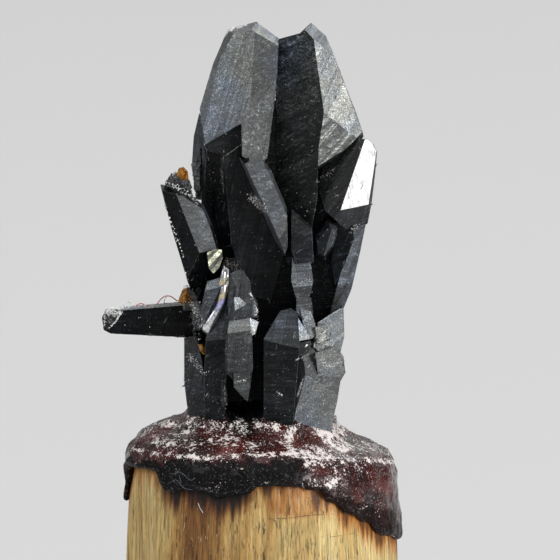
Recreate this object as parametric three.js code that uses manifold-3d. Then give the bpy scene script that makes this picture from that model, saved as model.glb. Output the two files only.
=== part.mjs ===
import * as THREE from "three";
import { ConvexGeometry } from "three/addons/geometries/ConvexGeometry.js";
import { mergeVertices } from "three/addons/utils/BufferGeometryUtils.js";
import Module from "manifold-3d";

// A group of pyrargyrite crystals cemented to the end of a wooden peg
// Millimetres, +Z up the peg, the front towards -Y, the origin in the middle of the peg's foot

// Driving sizes
const pegRadius = 1.51;
const pegTopRadius = 1.43;
const pegHeight = 2.16;
const pegTopSlope = -0.07;
const pegSides = 48;
const shavedFlat = { distance: 1.43, facing: -66, halfAngle: 40 };
const cement = { sides: 72, skirtRadius: 1.53, skirtLip: 0.03, innerRadius: 1.2, floor: 1.1, top: 2.8 };
const footHeight = 2.3;
const lookDown = 7;

// Each crystal sits a few micrometres off its place, so that no two share a plane
const settling = { size: 0.006, turn: 2.4 };

// Corners closer than finestStep are one, and faces within parallelLimit never meet
const finestStep = 0.002;
const parallelLimit = 1e-4;
const onFace = 1e-6;
const weldDistance = 1e-5;

const wasm = await Module();
wasm.setup();
const radians = THREE.MathUtils.degToRad;

// Places on the crystals are written as seen from the front, looking down a little:
// [across, up] in millimetres, with depth the distance behind the middle of the peg
const sight = new THREE.Vector3(0, Math.cos(radians(lookDown)), -Math.sin(radians(lookDown)));
const pictureUp = new THREE.Vector3(0, Math.sin(radians(lookDown)), Math.cos(radians(lookDown)));

function seenOn(plane, [across, up]) {
  const start = pictureUp.clone().multiplyScalar(up).setX(across);
  const along = -plane.distanceToPoint(start) / plane.normal.dot(sight);
  return start.addScaledVector(sight, along);
}

function uprightPlane(depth) {
  return new THREE.Plane(new THREE.Vector3(0, -1, 0), depth);
}

// A flat face turned to the right and leaned up, in degrees, through one place
function faceAt({ at, depth, turn = 0, lean = 0 }) {
  const level = Math.cos(radians(lean));
  const normal = new THREE.Vector3(
    Math.sin(radians(turn)) * level,
    -Math.cos(radians(turn)) * level,
    Math.sin(radians(lean)),
  );
  return new THREE.Plane().setFromNormalAndCoplanarPoint(normal, seenOn(uprightPlane(depth), at));
}

// A neighbour face, folded back by some degrees along the edge between two places
function foldedFace(face, { from, to, by }, inside) {
  const start = seenOn(face, from);
  const edge = seenOn(face, to).sub(start).normalize();
  const outwards = edge.clone().cross(face.normal);
  if (outwards.dot(seenOn(face, inside).sub(start)) > 0) {
    outwards.negate();
  }
  const normal = face.normal.clone().multiplyScalar(Math.cos(radians(by)));
  normal.addScaledVector(outwards, Math.sin(radians(by)));
  return new THREE.Plane().setFromNormalAndCoplanarPoint(normal, start);
}

function mirroredFace(face, depth) {
  const normal = face.normal.clone();
  normal.y = -normal.y;
  return new THREE.Plane(normal, face.constant - 2 * normal.y * depth);
}

// The side faces along one edge of the outline: one straight, or two that meet in a blunt ridge
function sideFaces(from, to, slope, middle, centre) {
  const start = seenOn(uprightPlane(middle), from);
  const edge = seenOn(uprightPlane(middle), to).sub(start).normalize();
  const outwards = edge.clone().cross(sight).normalize();
  if (outwards.dot(centre.clone().sub(start)) > 0) {
    outwards.negate();
  }
  const forwards = edge.clone().cross(outwards);
  forwards.multiplyScalar(forwards.dot(sight) > 0 ? -1 : 1);
  const signs = slope < 90 ? [1, -1] : [0];
  return signs.map((sign) => {
    const normal = outwards.clone().multiplyScalar(Math.sin(radians(slope)));
    normal.addScaledVector(forwards, sign * Math.cos(radians(slope)));
    return new THREE.Plane().setFromNormalAndCoplanarPoint(normal, start);
  });
}

// The corners of the room behind a set of faces
function cornersBetween(faces) {
  const corners = [];
  const meet = new THREE.Matrix3();
  for (let i = 0; i < faces.length; i += 1) {
    for (let j = i + 1; j < faces.length; j += 1) {
      for (let k = j + 1; k < faces.length; k += 1) {
        const [a, b, c] = [faces[i], faces[j], faces[k]];
        meet.set(...a.normal, ...b.normal, ...c.normal);
        if (Math.abs(meet.determinant()) > parallelLimit) {
          const corner = new THREE.Vector3(-a.constant, -b.constant, -c.constant);
          corner.applyMatrix3(meet.invert());
          const inside = faces.every((face) => face.distanceToPoint(corner) < onFace);
          if (inside && corners.every((other) => other.distanceTo(corner) > finestStep)) {
            corners.push(corner);
          }
        }
      }
    }
  }
  return corners;
}

function solidOf(geometry) {
  const bare = geometry.index ? geometry.toNonIndexed() : geometry;
  const places = new THREE.BufferGeometry();
  places.setAttribute("position", bare.getAttribute("position"));
  const merged = mergeVertices(places, weldDistance);
  return new wasm.Manifold(new wasm.Mesh({
    numProp: 3,
    vertProperties: new Float32Array(merged.attributes.position.array),
    triVerts: new Uint32Array(merged.index.array),
  }));
}

// One crystal: an outline seen from the front, a main face with folds in it, and a like back
function crystalSolid({ view = 0, middle, outline, slope = 90, face, folds = [] }, index = 0) {
  const fronts = [faceAt(face)];
  folds.forEach((fold) => {
    fronts.push(foldedFace(fronts[fold.on ?? 0], fold, fold.inside ?? face.at));
  });
  const backs = fronts.map((front) => mirroredFace(front, middle));
  const sum = outline.reduce(([a, b], [x, up]) => [a + x, b + up], [0, 0]);
  const centre = seenOn(uprightPlane(middle), [sum[0] / outline.length, sum[1] / outline.length]);
  const sides = outline.flatMap((corner, i) => {
    const next = outline[(i + 1) % outline.length];
    const edgeSlope = Array.isArray(slope) ? slope[i] : slope;
    return sideFaces(corner, next, edgeSlope, middle, centre);
  });
  const foot = new THREE.Plane(new THREE.Vector3(0, 0, -1), footHeight);
  const corners = cornersBetween([...fronts, ...backs, ...sides, foot]);
  const settled = settling.turn * index;
  const geometry = new ConvexGeometry(corners).rotateZ(radians(view)).translate(
    settling.size * Math.cos(settled),
    settling.size * Math.sin(settled),
    settling.size * Math.sin(settled / 2),
  );
  return solidOf(geometry);
}

// The tall pair at the back, with the strips and steps that belong to them
const tallCrystals = [
  { // tall left crystal, broken off under its main face
    middle: 0.08,
    outline: [[-0.43, 6.78], [-0.37, 6.9], [-0.07, 6.98], [0.18, 6.8], [0.16, 6.36], [-0.22, 5.86],
      [-0.63, 5.63], [-0.69, 6.02], [-0.54, 6.52]],
    slope: [80, 80, 78, 90, 90, 90, 90, 90, 90],
    face: { at: [-0.38, 6.24], depth: -0.32, turn: -25, lean: 2 },
    folds: [
      { from: [-0.07, 6.95], to: [-0.13, 6.1], by: 55 },
      { from: [-0.44, 6.69], to: [-0.64, 5.86], by: 35 },
    ],
  },
  { // its right-hand column, which reaches further down
    middle: 0.1,
    outline: [[-0.1, 6.3], [0.17, 6.69], [0.16, 6.24], [0.13, 6], [0.07, 5.47], [-0.08, 5.4],
      [-0.21, 5.49], [-0.22, 5.87]],
    face: { at: [-0.08, 6.02], depth: -0.395, turn: 30, lean: 1 },
  },
  { // strip down its left side
    middle: 0.12,
    outline: [[-0.69, 5.97], [-0.64, 5.86], [-0.6, 5.58], [-0.64, 5.02], [-0.72, 5.02], [-0.77, 5.43],
      [-0.75, 5.72]],
    face: { at: [-0.68, 5.69], depth: -0.06, turn: -55 },
  },
  { // tall right crystal, with its light right face and the striated face below it
    middle: 0.1,
    outline: [[0.38, 6.82], [0.54, 6.97], [0.7, 6.83], [0.84, 6.47], [1.01, 6.03], [1.12, 5.72],
      [1.01, 5.6], [0.89, 5.5], [0.63, 5.33], [0.47, 5.69], [0.38, 6.58]],
    slope: [88, 76, 90, 90, 90, 84, 84, 84, 90, 90, 90],
    face: { at: [0.51, 6.13], depth: -0.38, turn: -32 },
    folds: [
      { from: [0.54, 6.97], to: [0.68, 5.97], by: 62 },
      { from: [0.68, 5.97], to: [1.06, 5.68], by: 20, on: 1, inside: [0.8, 6.3] },
    ],
  },
  { // the rest of its dark front face, down to the middle of the group
    middle: 0.1,
    outline: [[0.19, 6.79], [0.42, 6.85], [0.55, 6.6], [0.62, 5.97], [0.63, 5.6], [0.61, 5.02],
      [0.48, 4.33], [0.28, 4.33], [0.17, 5.02], [0.17, 6.58]],
    face: { at: [0.4, 6.13], depth: -0.3, turn: -32 },
  },
  { // right crystal with the mirror-like face
    middle: -0.05,
    outline: [[0.92, 5.71], [1.16, 5.68], [1.22, 5.63], [1.26, 5.54], [1.24, 5.3], [1.2, 4.97],
      [1.16, 4.76], [0.92, 4.69], [0.7, 4.89], [0.61, 5.18], [0.73, 5.52]],
    face: { at: [1.07, 5.19], depth: -0.42, turn: 25, lean: 5 },
    folds: [
      { from: [1.12, 5.66], to: [0.86, 4.91], by: 60 },
      { from: [0.86, 4.9], to: [1.19, 4.97], by: 30 },
      { from: [1.25, 5.5], to: [1.17, 4.97], by: 40 },
    ],
  },
];

// The dark middle of the group and the crystal that leans across it
const middleCrystals = [
  { // large dark crystal under the break of the tall left one
    middle: 0,
    outline: [[-0.46, 5.71], [-0.18, 5.82], [0, 5.47], [0.24, 4.38], [0.1, 3.91], [-0.18, 3.96],
      [-0.32, 4.47], [-0.43, 5.02]],
    face: { at: [-0.24, 5.02], depth: -0.3, turn: 6, lean: -2 },
  },
  { // its narrow left face
    middle: 0.05,
    outline: [[-0.64, 5.61], [-0.44, 5.69], [-0.33, 4.52], [-0.42, 4.49], [-0.57, 5.19]],
    face: { at: [-0.51, 5.36], depth: -0.24, turn: -40 },
  },
  { // step at its top
    middle: 0,
    outline: [[-0.64, 5.62], [-0.22, 5.86], [-0.21, 5.64], [-0.41, 5.51], [-0.6, 5.56]],
    face: { at: [-0.38, 5.67], depth: -0.345, turn: 6 },
  },
  { // leaning crystal in front of the middle
    middle: -0.25,
    outline: [[-0.29, 5.5], [-0.13, 5.56], [0, 5.5], [0.1, 5.36], [0.28, 4.93], [0.29, 4.52],
      [0.24, 4.38], [0.16, 4.56], [-0.2, 5.18], [-0.27, 5.41]],
    slope: [70, 70, 84, 84, 90, 90, 84, 87, 87, 87],
    face: { at: [-0.02, 5.13], depth: -0.62, turn: 10, lean: 12 },
    folds: [
      { from: [0.09, 4.68], to: [0.28, 4.93], by: 25 },
      { from: [-0.04, 4.97], to: [0.12, 5.16], by: 9 },
    ],
  },
  { // thin plate at the far left, under the tall left crystal
    middle: 0,
    outline: [[-0.78, 5.42], [-0.7, 5.43], [-0.69, 5.13], [-0.73, 5.11]],
    face: { at: [-0.73, 5.27], depth: -0.15, turn: 10 },
  },
  { // and another beside it
    middle: 0.05,
    outline: [[-0.69, 5.58], [-0.61, 5.58], [-0.51, 5.02], [-0.53, 4.78], [-0.64, 4.97]],
    face: { at: [-0.61, 5.19], depth: -0.12, turn: -20 },
  },
];

// Left side: the leaning crystal, the small bright tooth under it and the one that lies flat
const leftCrystals = [
  {
    middle: -0.3,
    outline: [[-1.11, 5.18], [-0.91, 5.14], [-0.64, 4.96], [-0.54, 4.73], [-0.46, 4.47], [-0.53, 4.22],
      [-0.62, 4.02], [-0.73, 3.91], [-0.78, 4.02], [-0.99, 4.71]],
    slope: [75, 80, 84, 84, 84, 84, 90, 90, 90, 90],
    face: { at: [-0.71, 4.74], depth: -0.6, turn: 14, lean: 6 },
    folds: [
      { from: [-0.96, 5.13], to: [-0.68, 4.42], by: 48 },
      { from: [-0.69, 4.42], to: [-0.47, 4.48], by: 40 },
    ],
  },
  { // small crystals on its top
    middle: -0.3,
    outline: [[-1.07, 5.2], [-0.99, 5.3], [-0.9, 5.32], [-0.8, 5.2], [-0.78, 5.06], [-0.91, 5.05]],
    face: { at: [-0.93, 5.18], depth: -0.45, turn: 0, lean: 30 },
  },
  { // small rough crystal between it and the flat-lying one
    middle: -0.25,
    outline: [[-0.89, 3.97], [-0.82, 4.06], [-0.74, 4.05], [-0.68, 3.92], [-0.74, 3.8], [-0.86, 3.8]],
    slope: 80,
    face: { at: [-0.79, 3.95], depth: -0.36, turn: -8, lean: 14 },
  },
  { // tooth
    middle: -0.45,
    outline: [[-0.6, 4.44], [-0.51, 4.48], [-0.44, 4.47], [-0.43, 4.38], [-0.47, 4.27], [-0.53, 4.21],
      [-0.58, 4.27]],
    face: { at: [-0.51, 4.34], depth: -0.63, turn: 20, lean: -6 },
  },
  { // flat-lying crystal
    middle: -0.1,
    outline: [[-1.77, 3.71], [-1.72, 3.81], [-1.24, 3.86], [-0.73, 3.9], [-0.53, 3.71], [-0.69, 3.49],
      [-1.67, 3.54], [-1.75, 3.58]],
    face: { at: [-1.24, 3.74], depth: -0.26, turn: 0, lean: 12 },
    folds: [
      { from: [-1.76, 3.68], to: [-0.69, 3.66], by: 25 },
      { from: [-1.73, 3.78], to: [-0.77, 3.86], by: 70 },
      { from: [-1.57, 3.79], to: [-1.66, 3.57], by: 40 },
    ],
  },
  { // rough slab in front of its root
    middle: -0.3,
    outline: [[-0.77, 3.88], [-0.7, 3.9], [-0.66, 3.84], [-0.67, 3.59], [-0.74, 3.58]],
    face: { at: [-0.71, 3.73], depth: -0.5, turn: -15 },
  },
  { // outer column that stands in the cement
    middle: -0.1,
    outline: [[-0.86, 3.49], [-0.72, 3.51], [-0.64, 3.11], [-0.6, 2.1], [-0.75, 2.1], [-0.83, 2.76],
      [-0.86, 2.91]],
    face: { at: [-0.74, 3.13], depth: -0.42, turn: -20 },
    folds: [{ from: [-0.68, 3.41], to: [-0.62, 2.52], by: 40 }],
  },
];

// Lower left columns
const lowerLeftCrystals = [
  {
    middle: -0.3,
    outline: [[-0.6, 4.12], [-0.44, 4.17], [-0.36, 4.17], [-0.4, 3.88], [-0.6, 3.52], [-0.67, 3.6],
      [-0.66, 3.86]],
    face: { at: [-0.58, 3.91], depth: -0.62, turn: -15 },
    folds: [
      { from: [-0.64, 4.01], to: [-0.46, 4.06], by: 25 },
      { from: [-0.43, 4.1], to: [-0.66, 3.62], by: 45 },
    ],
  },
  {
    middle: -0.2,
    outline: [[-0.44, 3.91], [-0.34, 4.02], [-0.33, 3.58], [-0.38, 3.02], [-0.44, 2.1], [-0.62, 2.1],
      [-0.63, 3.02], [-0.61, 3.5]],
    face: { at: [-0.5, 3.02], depth: -0.6, turn: -12 },
    folds: [{ from: [-0.62, 3.47], to: [-0.33, 3.49], by: 15 }],
  },
  { // upper part of the front column
    middle: -0.4,
    outline: [[-0.36, 4.2], [-0.28, 4.24], [-0.21, 4.24], [-0.14, 4.11], [-0.11, 3.91], [-0.11, 3.67],
      [-0.36, 3.64], [-0.38, 3.91]],
    face: { at: [-0.23, 3.91], depth: -0.68, turn: 12 },
    folds: [
      { from: [-0.29, 4.08], to: [-0.13, 4.09], by: 20 },
      { from: [-0.29, 4.22], to: [-0.31, 3.67], by: 45 },
    ],
  },
  { // bright triangle on it
    middle: -0.55,
    outline: [[-0.3, 3.94], [-0.24, 3.94], [-0.16, 3.86], [-0.29, 3.79]],
    face: { at: [-0.24, 3.88], depth: -0.71, turn: 25, lean: 5 },
  },
  { // front column
    middle: -0.5,
    outline: [[-0.36, 3.68], [-0.14, 3.71], [-0.11, 3.52], [-0.1, 3.19], [-0.13, 2.99], [-0.32, 3.03],
      [-0.4, 3.13], [-0.4, 3.41]],
    face: { at: [-0.26, 3.33], depth: -0.78, turn: 8, lean: -3 },
    folds: [
      { from: [-0.37, 3.54], to: [-0.12, 3.58], by: 38 },
      { from: [-0.37, 3.54], to: [-0.38, 3.11], by: 50 },
      { from: [-0.4, 3.12], to: [-0.1, 3.12], by: 20 },
    ],
  },
  { // its free tip
    middle: -0.55,
    outline: [[-0.31, 3.11], [-0.13, 3.13], [-0.13, 2.98], [-0.16, 2.8], [-0.24, 2.88], [-0.31, 2.96]],
    face: { at: [-0.21, 3], depth: -0.76, turn: 10, lean: -12 },
  },
  { // two small crystals on its right edge
    middle: -0.45,
    outline: [[-0.14, 4.01], [-0.09, 3.93], [-0.04, 3.79], [-0.07, 3.72], [-0.12, 3.77]],
    face: { at: [-0.09, 3.86], depth: -0.62, turn: 35 },
  },
  {
    middle: -0.45,
    outline: [[-0.14, 3.72], [-0.04, 3.67], [-0.08, 3.54], [-0.13, 3.52]],
    face: { at: [-0.1, 3.62], depth: -0.66, turn: 30, lean: 10 },
  },
  { // rough lump on top of the two columns
    middle: -0.4,
    outline: [[-0.44, 4.27], [-0.39, 4.37], [-0.29, 4.36], [-0.23, 4.24], [-0.33, 4.18]],
    face: { at: [-0.34, 4.28], depth: -0.58, turn: 0, lean: 20 },
  },
  { // thin blade in the shade
    middle: -0.5,
    outline: [[-0.44, 3.02], [-0.39, 3.04], [-0.38, 2.76], [-0.44, 2.73]],
    face: { at: [-0.41, 2.89], depth: -0.66, turn: 20 },
  },
];

// Centre column, a stack of short crystals
const centreCrystals = [
  {
    middle: -0.25,
    outline: [[0.32, 4.91], [0.42, 4.86], [0.54, 4.76], [0.56, 4.33], [0.38, 4.31], [0.32, 4.47]],
    slope: [76, 76, 90, 90, 90, 90],
    face: { at: [0.43, 4.6], depth: -0.55, turn: 5, lean: 4 },
    folds: [{ from: [0.3, 4.66], to: [0.56, 4.6], by: 14 }],
  },
  {
    middle: -0.25,
    outline: [[0.34, 4.38], [0.54, 4.33], [0.57, 4.13], [0.52, 3.93], [0.38, 3.94], [0.33, 4.13]],
    face: { at: [0.44, 4.19], depth: -0.57, turn: 12, lean: 15 },
    folds: [{ from: [0.34, 4.06], to: [0.56, 4.08], by: 25 }],
  },
  {
    middle: -0.3,
    outline: [[0.38, 3.96], [0.54, 3.94], [0.56, 3.77], [0.42, 3.71], [0.38, 3.78]],
    face: { at: [0.47, 3.86], depth: -0.58, turn: 10, lean: -5 },
  },
  {
    middle: -0.3,
    outline: [[0.42, 3.81], [0.54, 3.79], [0.62, 3.53], [0.54, 3.48], [0.46, 3.6]],
    face: { at: [0.52, 3.67], depth: -0.6, turn: 15, lean: 10 },
  },
  {
    middle: -0.35,
    outline: [[0.59, 3.61], [0.7, 3.64], [0.72, 3.47], [0.61, 3.43]],
    face: { at: [0.66, 3.54], depth: -0.6, turn: 28 },
  },
  {
    middle: -0.45,
    outline: [[0.39, 3.72], [0.54, 3.49], [0.4, 3.46]],
    face: { at: [0.43, 3.54], depth: -0.66, turn: 25, lean: 5 },
  },
  {
    middle: -0.4,
    outline: [[0.39, 3.44], [0.54, 3.47], [0.52, 3.32], [0.37, 3.29]],
    face: { at: [0.46, 3.38], depth: -0.66, turn: 8, lean: -10 },
  },
];

// Right side and the two blocks at the foot
const rightCrystals = [
  { // short crystal with a dusty top
    middle: -0.2,
    outline: [[0.62, 4.73], [0.72, 4.84], [0.84, 4.79], [0.84, 4.63], [0.79, 4.49], [0.7, 4.36],
      [0.59, 4.4], [0.58, 4.62]],
    slope: [70, 70, 84, 84, 84, 84, 84, 84],
    face: { at: [0.71, 4.63], depth: -0.5, turn: -10, lean: 12 },
    folds: [{ from: [0.8, 4.8], to: [0.67, 4.38], by: 35 }],
  },
  {
    middle: -0.1,
    outline: [[0.84, 4.78], [1, 4.76], [1.01, 4.58], [0.92, 4.33], [0.8, 4.08], [0.76, 4.33]],
    face: { at: [0.89, 4.52], depth: -0.36, turn: -15 },
  },
  { // outer blade
    middle: -0.1,
    outline: [[1.01, 4.73], [1.16, 4.79], [1.1, 4.5], [1.03, 4.19], [0.99, 4.02], [0.9, 3.8], [0.76, 3.76]],
    face: { at: [1, 4.33], depth: -0.3, turn: 15, lean: -3 },
    folds: [{ from: [0.8, 4.01], to: [1, 4.12], by: 20 }],
  },
  { // block at the middle of the foot
    middle: -0.3,
    outline: [[0.02, 3.49], [0.2, 3.79], [0.32, 3.82], [0.39, 3.77], [0.41, 3.41], [0.3, 2.1], [0.02, 2.1]],
    face: { at: [0.2, 2.97], depth: -0.74, turn: -6, lean: -2 },
    folds: [{ from: [0.02, 3.47], to: [0.4, 3.38], by: 30 }],
  },
  { // block at the right of the foot
    middle: -0.15,
    outline: [[0.42, 3.36], [0.56, 3.47], [0.76, 3.41], [0.9, 3.11], [0.83, 2.8], [0.72, 2.1], [0.33, 2.1],
      [0.37, 2.8]],
    face: { at: [0.57, 2.82], depth: -0.64, turn: 12 },
    folds: [
      { from: [0.49, 3.11], to: [0.37, 2.67], by: 40 },
      { from: [0.47, 3.11], to: [0.84, 2.88], by: 20 },
    ],
  },
  {
    middle: -0.15,
    outline: [[0.62, 3.67], [0.8, 3.79], [0.9, 3.84], [0.91, 3.52], [0.87, 3.36], [0.7, 3.27], [0.57, 3.41]],
    face: { at: [0.78, 3.52], depth: -0.45, turn: 25, lean: 5 },
  },
  {
    middle: -0.2,
    outline: [[0.58, 3.33], [0.81, 3.4], [0.89, 3.29], [0.91, 3.11], [0.81, 2.93], [0.62, 3.04]],
    face: { at: [0.76, 3.17], depth: -0.56, turn: 20, lean: -5 },
  },
];

// What the front ones grow on, and the crystals of the back
const backCrystals = [
  { // heart of the group
    middle: 0.15,
    outline: [[-0.52, 5.8], [0.09, 6.1], [0.42, 6.1], [0.87, 5.58], [0.92, 4.86], [0.71, 2.1], [-0.69, 2.1],
      [-0.66, 5.02]],
    face: { at: [0, 4.5], depth: -0.14, turn: 0 },
  },
  {
    view: 180,
    middle: -0.36,
    outline: [[-0.75, 4.2], [-0.55, 5.7], [-0.35, 6.1], [-0.15, 5.9], [-0.05, 5], [-0.1, 3.9], [-0.4, 3.4]],
    slope: 80,
    face: { at: [-0.42, 5.1], depth: -0.66, turn: -18, lean: 4 },
    folds: [{ from: [-0.34, 5.95], to: [-0.3, 3.8], by: 48 }],
  },
  {
    view: 180,
    middle: -0.36,
    outline: [[0.02, 5.1], [0.25, 5.55], [0.5, 5.2], [0.56, 4.4], [0.4, 3.6], [0.05, 3.6]],
    slope: 82,
    face: { at: [0.2, 4.6], depth: -0.68, turn: -10, lean: 3 },
    folds: [{ from: [0.27, 5.5], to: [0.33, 3.7], by: 50 }],
  },
  {
    view: 180,
    middle: -0.4,
    outline: [[-0.55, 4.1], [-0.25, 4.55], [0.0, 4.2], [0.05, 3.2], [0, 2.1], [-0.5, 2.1], [-0.6, 3.2]],
    slope: 82,
    face: { at: [-0.4, 3.4], depth: -0.84, turn: -20 },
    folds: [{ from: [-0.24, 4.45], to: [-0.26, 2.4], by: 45 }],
  },
  {
    view: 180,
    middle: -0.3,
    outline: [[-0.87, 3.9], [-0.75, 4.3], [-0.55, 4.1], [-0.45, 3.2], [-0.45, 2.1], [-0.66, 2.1],
      [-0.8, 3.1]],
    slope: 84,
    face: { at: [-0.66, 3.4], depth: -0.6, turn: -28, lean: 3 },
    folds: [{ from: [-0.68, 4.3], to: [-0.58, 2.3], by: 40 }],
  },
  {
    view: 180,
    middle: -0.35,
    outline: [[0.08, 3.7], [0.35, 4.02], [0.6, 3.6], [0.68, 2.9], [0.62, 2.1], [0.08, 2.1]],
    slope: 82,
    face: { at: [0.25, 3.2], depth: -0.78, turn: 6, lean: 2 },
    folds: [{ from: [0.38, 3.9], to: [0.42, 2.3], by: 42 }],
  },
  {
    view: 180,
    middle: -0.6,
    outline: [[-0.3, 3.15], [-0.08, 3.5], [0.15, 3.2], [0.22, 2.1], [-0.35, 2.1]],
    slope: 78,
    face: { at: [-0.15, 2.9], depth: -1.02, turn: -14, lean: 5 },
    folds: [{ from: [-0.06, 3.4], to: [-0.02, 2.3], by: 50 }],
  },
  {
    view: 180,
    middle: -0.2,
    outline: [[-1.05, 4.9], [-0.85, 5.35], [-0.65, 5.1], [-0.62, 4.2], [-0.8, 3.8], [-1, 4.2]],
    slope: 82,
    face: { at: [-0.85, 4.6], depth: -0.46, turn: -24 },
    folds: [{ from: [-0.82, 5.2], to: [-0.78, 4], by: 38 }],
  },
  {
    view: 180,
    middle: -0.5,
    outline: [[-0.32, 4.95], [-0.12, 5.2], [0.1, 4.9], [0.06, 4.45], [-0.25, 4.4]],
    slope: 76,
    face: { at: [-0.12, 4.8], depth: -0.82, turn: 12, lean: 10 },
  },
  {
    view: 180,
    middle: -0.3,
    outline: [[0.35, 4.7], [0.52, 4.95], [0.63, 4.6], [0.6, 4.1], [0.4, 4]],
    slope: 78,
    face: { at: [0.5, 4.5], depth: -0.62, turn: 26, lean: 4 },
  },
];

const allCrystals = [
  ...tallCrystals,
  ...middleCrystals,
  ...leftCrystals,
  ...lowerLeftCrystals,
  ...centreCrystals,
  ...rightCrystals,
  ...backCrystals,
];
const clusterSolid = allCrystals
  .map((crystal, index) => crystalSolid(crystal, index))
  .reduce((whole, one) => whole.add(one));

// Peg: a round peg, a little wider at the foot, with one side shaved flat
function pegRadiusAt(angle, height) {
  const round = THREE.MathUtils.lerp(pegRadius, pegTopRadius, (height / pegHeight) ** 3);
  const off = radians(angle - shavedFlat.facing);
  const flat = shavedFlat.distance / Math.cos(off);
  return Math.abs(off) < radians(shavedFlat.halfAngle) ? Math.min(round, flat) : round;
}

function roundBody(profileAt, sides) {
  const steps = profileAt(0).length;
  const profile = profileAt(0).map(([radius, height]) => new THREE.Vector2(radius, height));
  const geometry = new THREE.LatheGeometry(profile, sides).rotateX(Math.PI / 2);
  const places = geometry.getAttribute("position");
  for (let i = 0; i < places.count; i += 1) {
    const side = Math.floor(i / steps) % sides;
    const angle = (side * 360) / sides;
    const [radius, height] = profileAt(angle)[i % steps];
    places.setXYZ(i, radius * Math.sin(radians(angle)), -radius * Math.cos(radians(angle)), height);
  }
  return geometry;
}

function signedAngle(angle) {
  return angle > 180 ? angle - 360 : angle;
}

const pegSteps = [0, 0.35, 0.7, 1];
const pegSolid = solidOf(roundBody((angle) => {
  const rings = pegSteps.map((step) => {
    const radius = pegRadiusAt(signedAngle(angle), step * pegHeight);
    const across = radius * Math.sin(radians(angle));
    return [radius, step * (pegHeight + pegTopSlope * across)];
  });
  return [[0, 0], ...rings, [0, pegHeight]];
}, pegSides));

// Cement: a low dome on the peg's end, steeper at the left, with a skirt that ran down the wood
// The skirt's lower edge: the angle from the front towards the right, and the height
const skirtEdge = [
  [-90, 1.72], [-72, 2.18], [-52, 2.22], [-44, 1.9], [-30, 1.9], [-8, 1.83], [0, 2.02], [13, 1.97],
  [26, 1.9], [32, 1.73], [41, 1.59], [51, 1.46], [67, 1.34], [83, 1.25], [110, 1.35], [140, 1.6],
  [170, 1.8], [200, 1.66], [230, 1.85], [250, 1.75], [270, 1.72],
];

function skirtHeight(angle) {
  const turned = angle > 270 ? angle - 360 : angle;
  const next = skirtEdge.findIndex(([at]) => at >= turned);
  const [atB, heightB] = skirtEdge[Math.max(next, 1)];
  const [atA, heightA] = skirtEdge[Math.max(next, 1) - 1];
  return THREE.MathUtils.mapLinear(turned, atA, atB, heightA, heightB);
}

// Radius and height of the dome's rings
const domeLeft = [
  [1.5, 2.26], [1.46, 2.33], [1.36, 2.44], [1.21, 2.54], [1.05, 2.6], [0.88, 2.63], [0.65, 2.7],
];
const domeRight = [
  [1.51, 2.02], [1.48, 2.14], [1.4, 2.25], [1.25, 2.32], [1.08, 2.39], [0.9, 2.49], [0.68, 2.63],
];

const cementBody = roundBody((angle) => {
  const toRight = (1 + Math.sin(radians(angle))) / 2;
  const edge = skirtHeight(angle);
  const dome = domeLeft.map(([radius, height], i) => [
    THREE.MathUtils.lerp(radius, domeRight[i][0], toRight),
    THREE.MathUtils.lerp(height, domeRight[i][1], toRight),
  ]);
  const { skirtRadius, skirtLip, innerRadius, floor, top } = cement;
  const plug = [[0, floor], [innerRadius, floor], [innerRadius, edge]];
  const lip = [[skirtRadius - skirtLip, edge], [skirtRadius, edge + skirtLip]];
  return [...plug, ...lip, ...dome, [0, top]];
}, cement.sides);
const cementSolid = solidOf(cementBody).subtract(pegSolid).subtract(clusterSolid);

// Amber grains stuck on the crystals
const grains = {
  grain_on_left_crystal: {
    middle: -0.4,
    outline: [[-0.92, 5.36], [-0.87, 5.38], [-0.82, 5.33], [-0.81, 5.24], [-0.87, 5.18], [-0.95, 5.28]],
    slope: 55,
    face: { at: [-0.88, 5.3], depth: -0.5, turn: 10, lean: 15 },
  },
  grain_at_flat_crystal: {
    middle: -0.31,
    outline: [[-0.88, 4.03], [-0.83, 4.06], [-0.79, 4], [-0.79, 3.9], [-0.86, 3.84], [-0.93, 3.9]],
    slope: 55,
    face: { at: [-0.85, 3.95], depth: -0.41, turn: -10, lean: 10 },
  },
  grain_on_outer_column: {
    middle: -0.46,
    outline: [[-0.7, 3.42], [-0.66, 3.43], [-0.62, 3.37], [-0.64, 3.31], [-0.69, 3.35]],
    slope: 60,
    face: { at: [-0.66, 3.38], depth: -0.55, turn: -5 },
  },
};

function part(name, solid, look) {
  const mesh = solid.getMesh();
  const geometry = new THREE.BufferGeometry();
  geometry.setAttribute("position", new THREE.BufferAttribute(new Float32Array(mesh.vertProperties), 3));
  geometry.setIndex(new THREE.BufferAttribute(mesh.triVerts, 1));
  geometry.computeVertexNormals();
  const piece = new THREE.Mesh(geometry, new THREE.MeshStandardMaterial(look));
  piece.name = name;
  return piece;
}

const looks = {
  wood: { color: 0xc09a5c, roughness: 0.8, metalness: 0 },
  resin: { color: 0x3a1410, roughness: 0.15, metalness: 0 },
  crystal: { color: 0x1c1e22, roughness: 0.3, metalness: 0.6 },
  amber: { color: 0xb8741c, roughness: 0.25, metalness: 0 },
};
const specimen = new THREE.Group();
specimen.add(part("peg", pegSolid, looks.wood));
specimen.add(part("cement", cementSolid, looks.resin));
specimen.add(part("pyrargyrite_crystals", clusterSolid, looks.crystal));
Object.entries(grains).forEach(([name, grain]) => {
  specimen.add(part(name, crystalSolid(grain).subtract(clusterSolid), looks.amber));
});
export default specimen;
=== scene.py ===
import math
import random

import bmesh
import bpy
from mathutils import Matrix, Vector, geometry, noise
from mathutils.bvhtree import BVHTree


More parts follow.
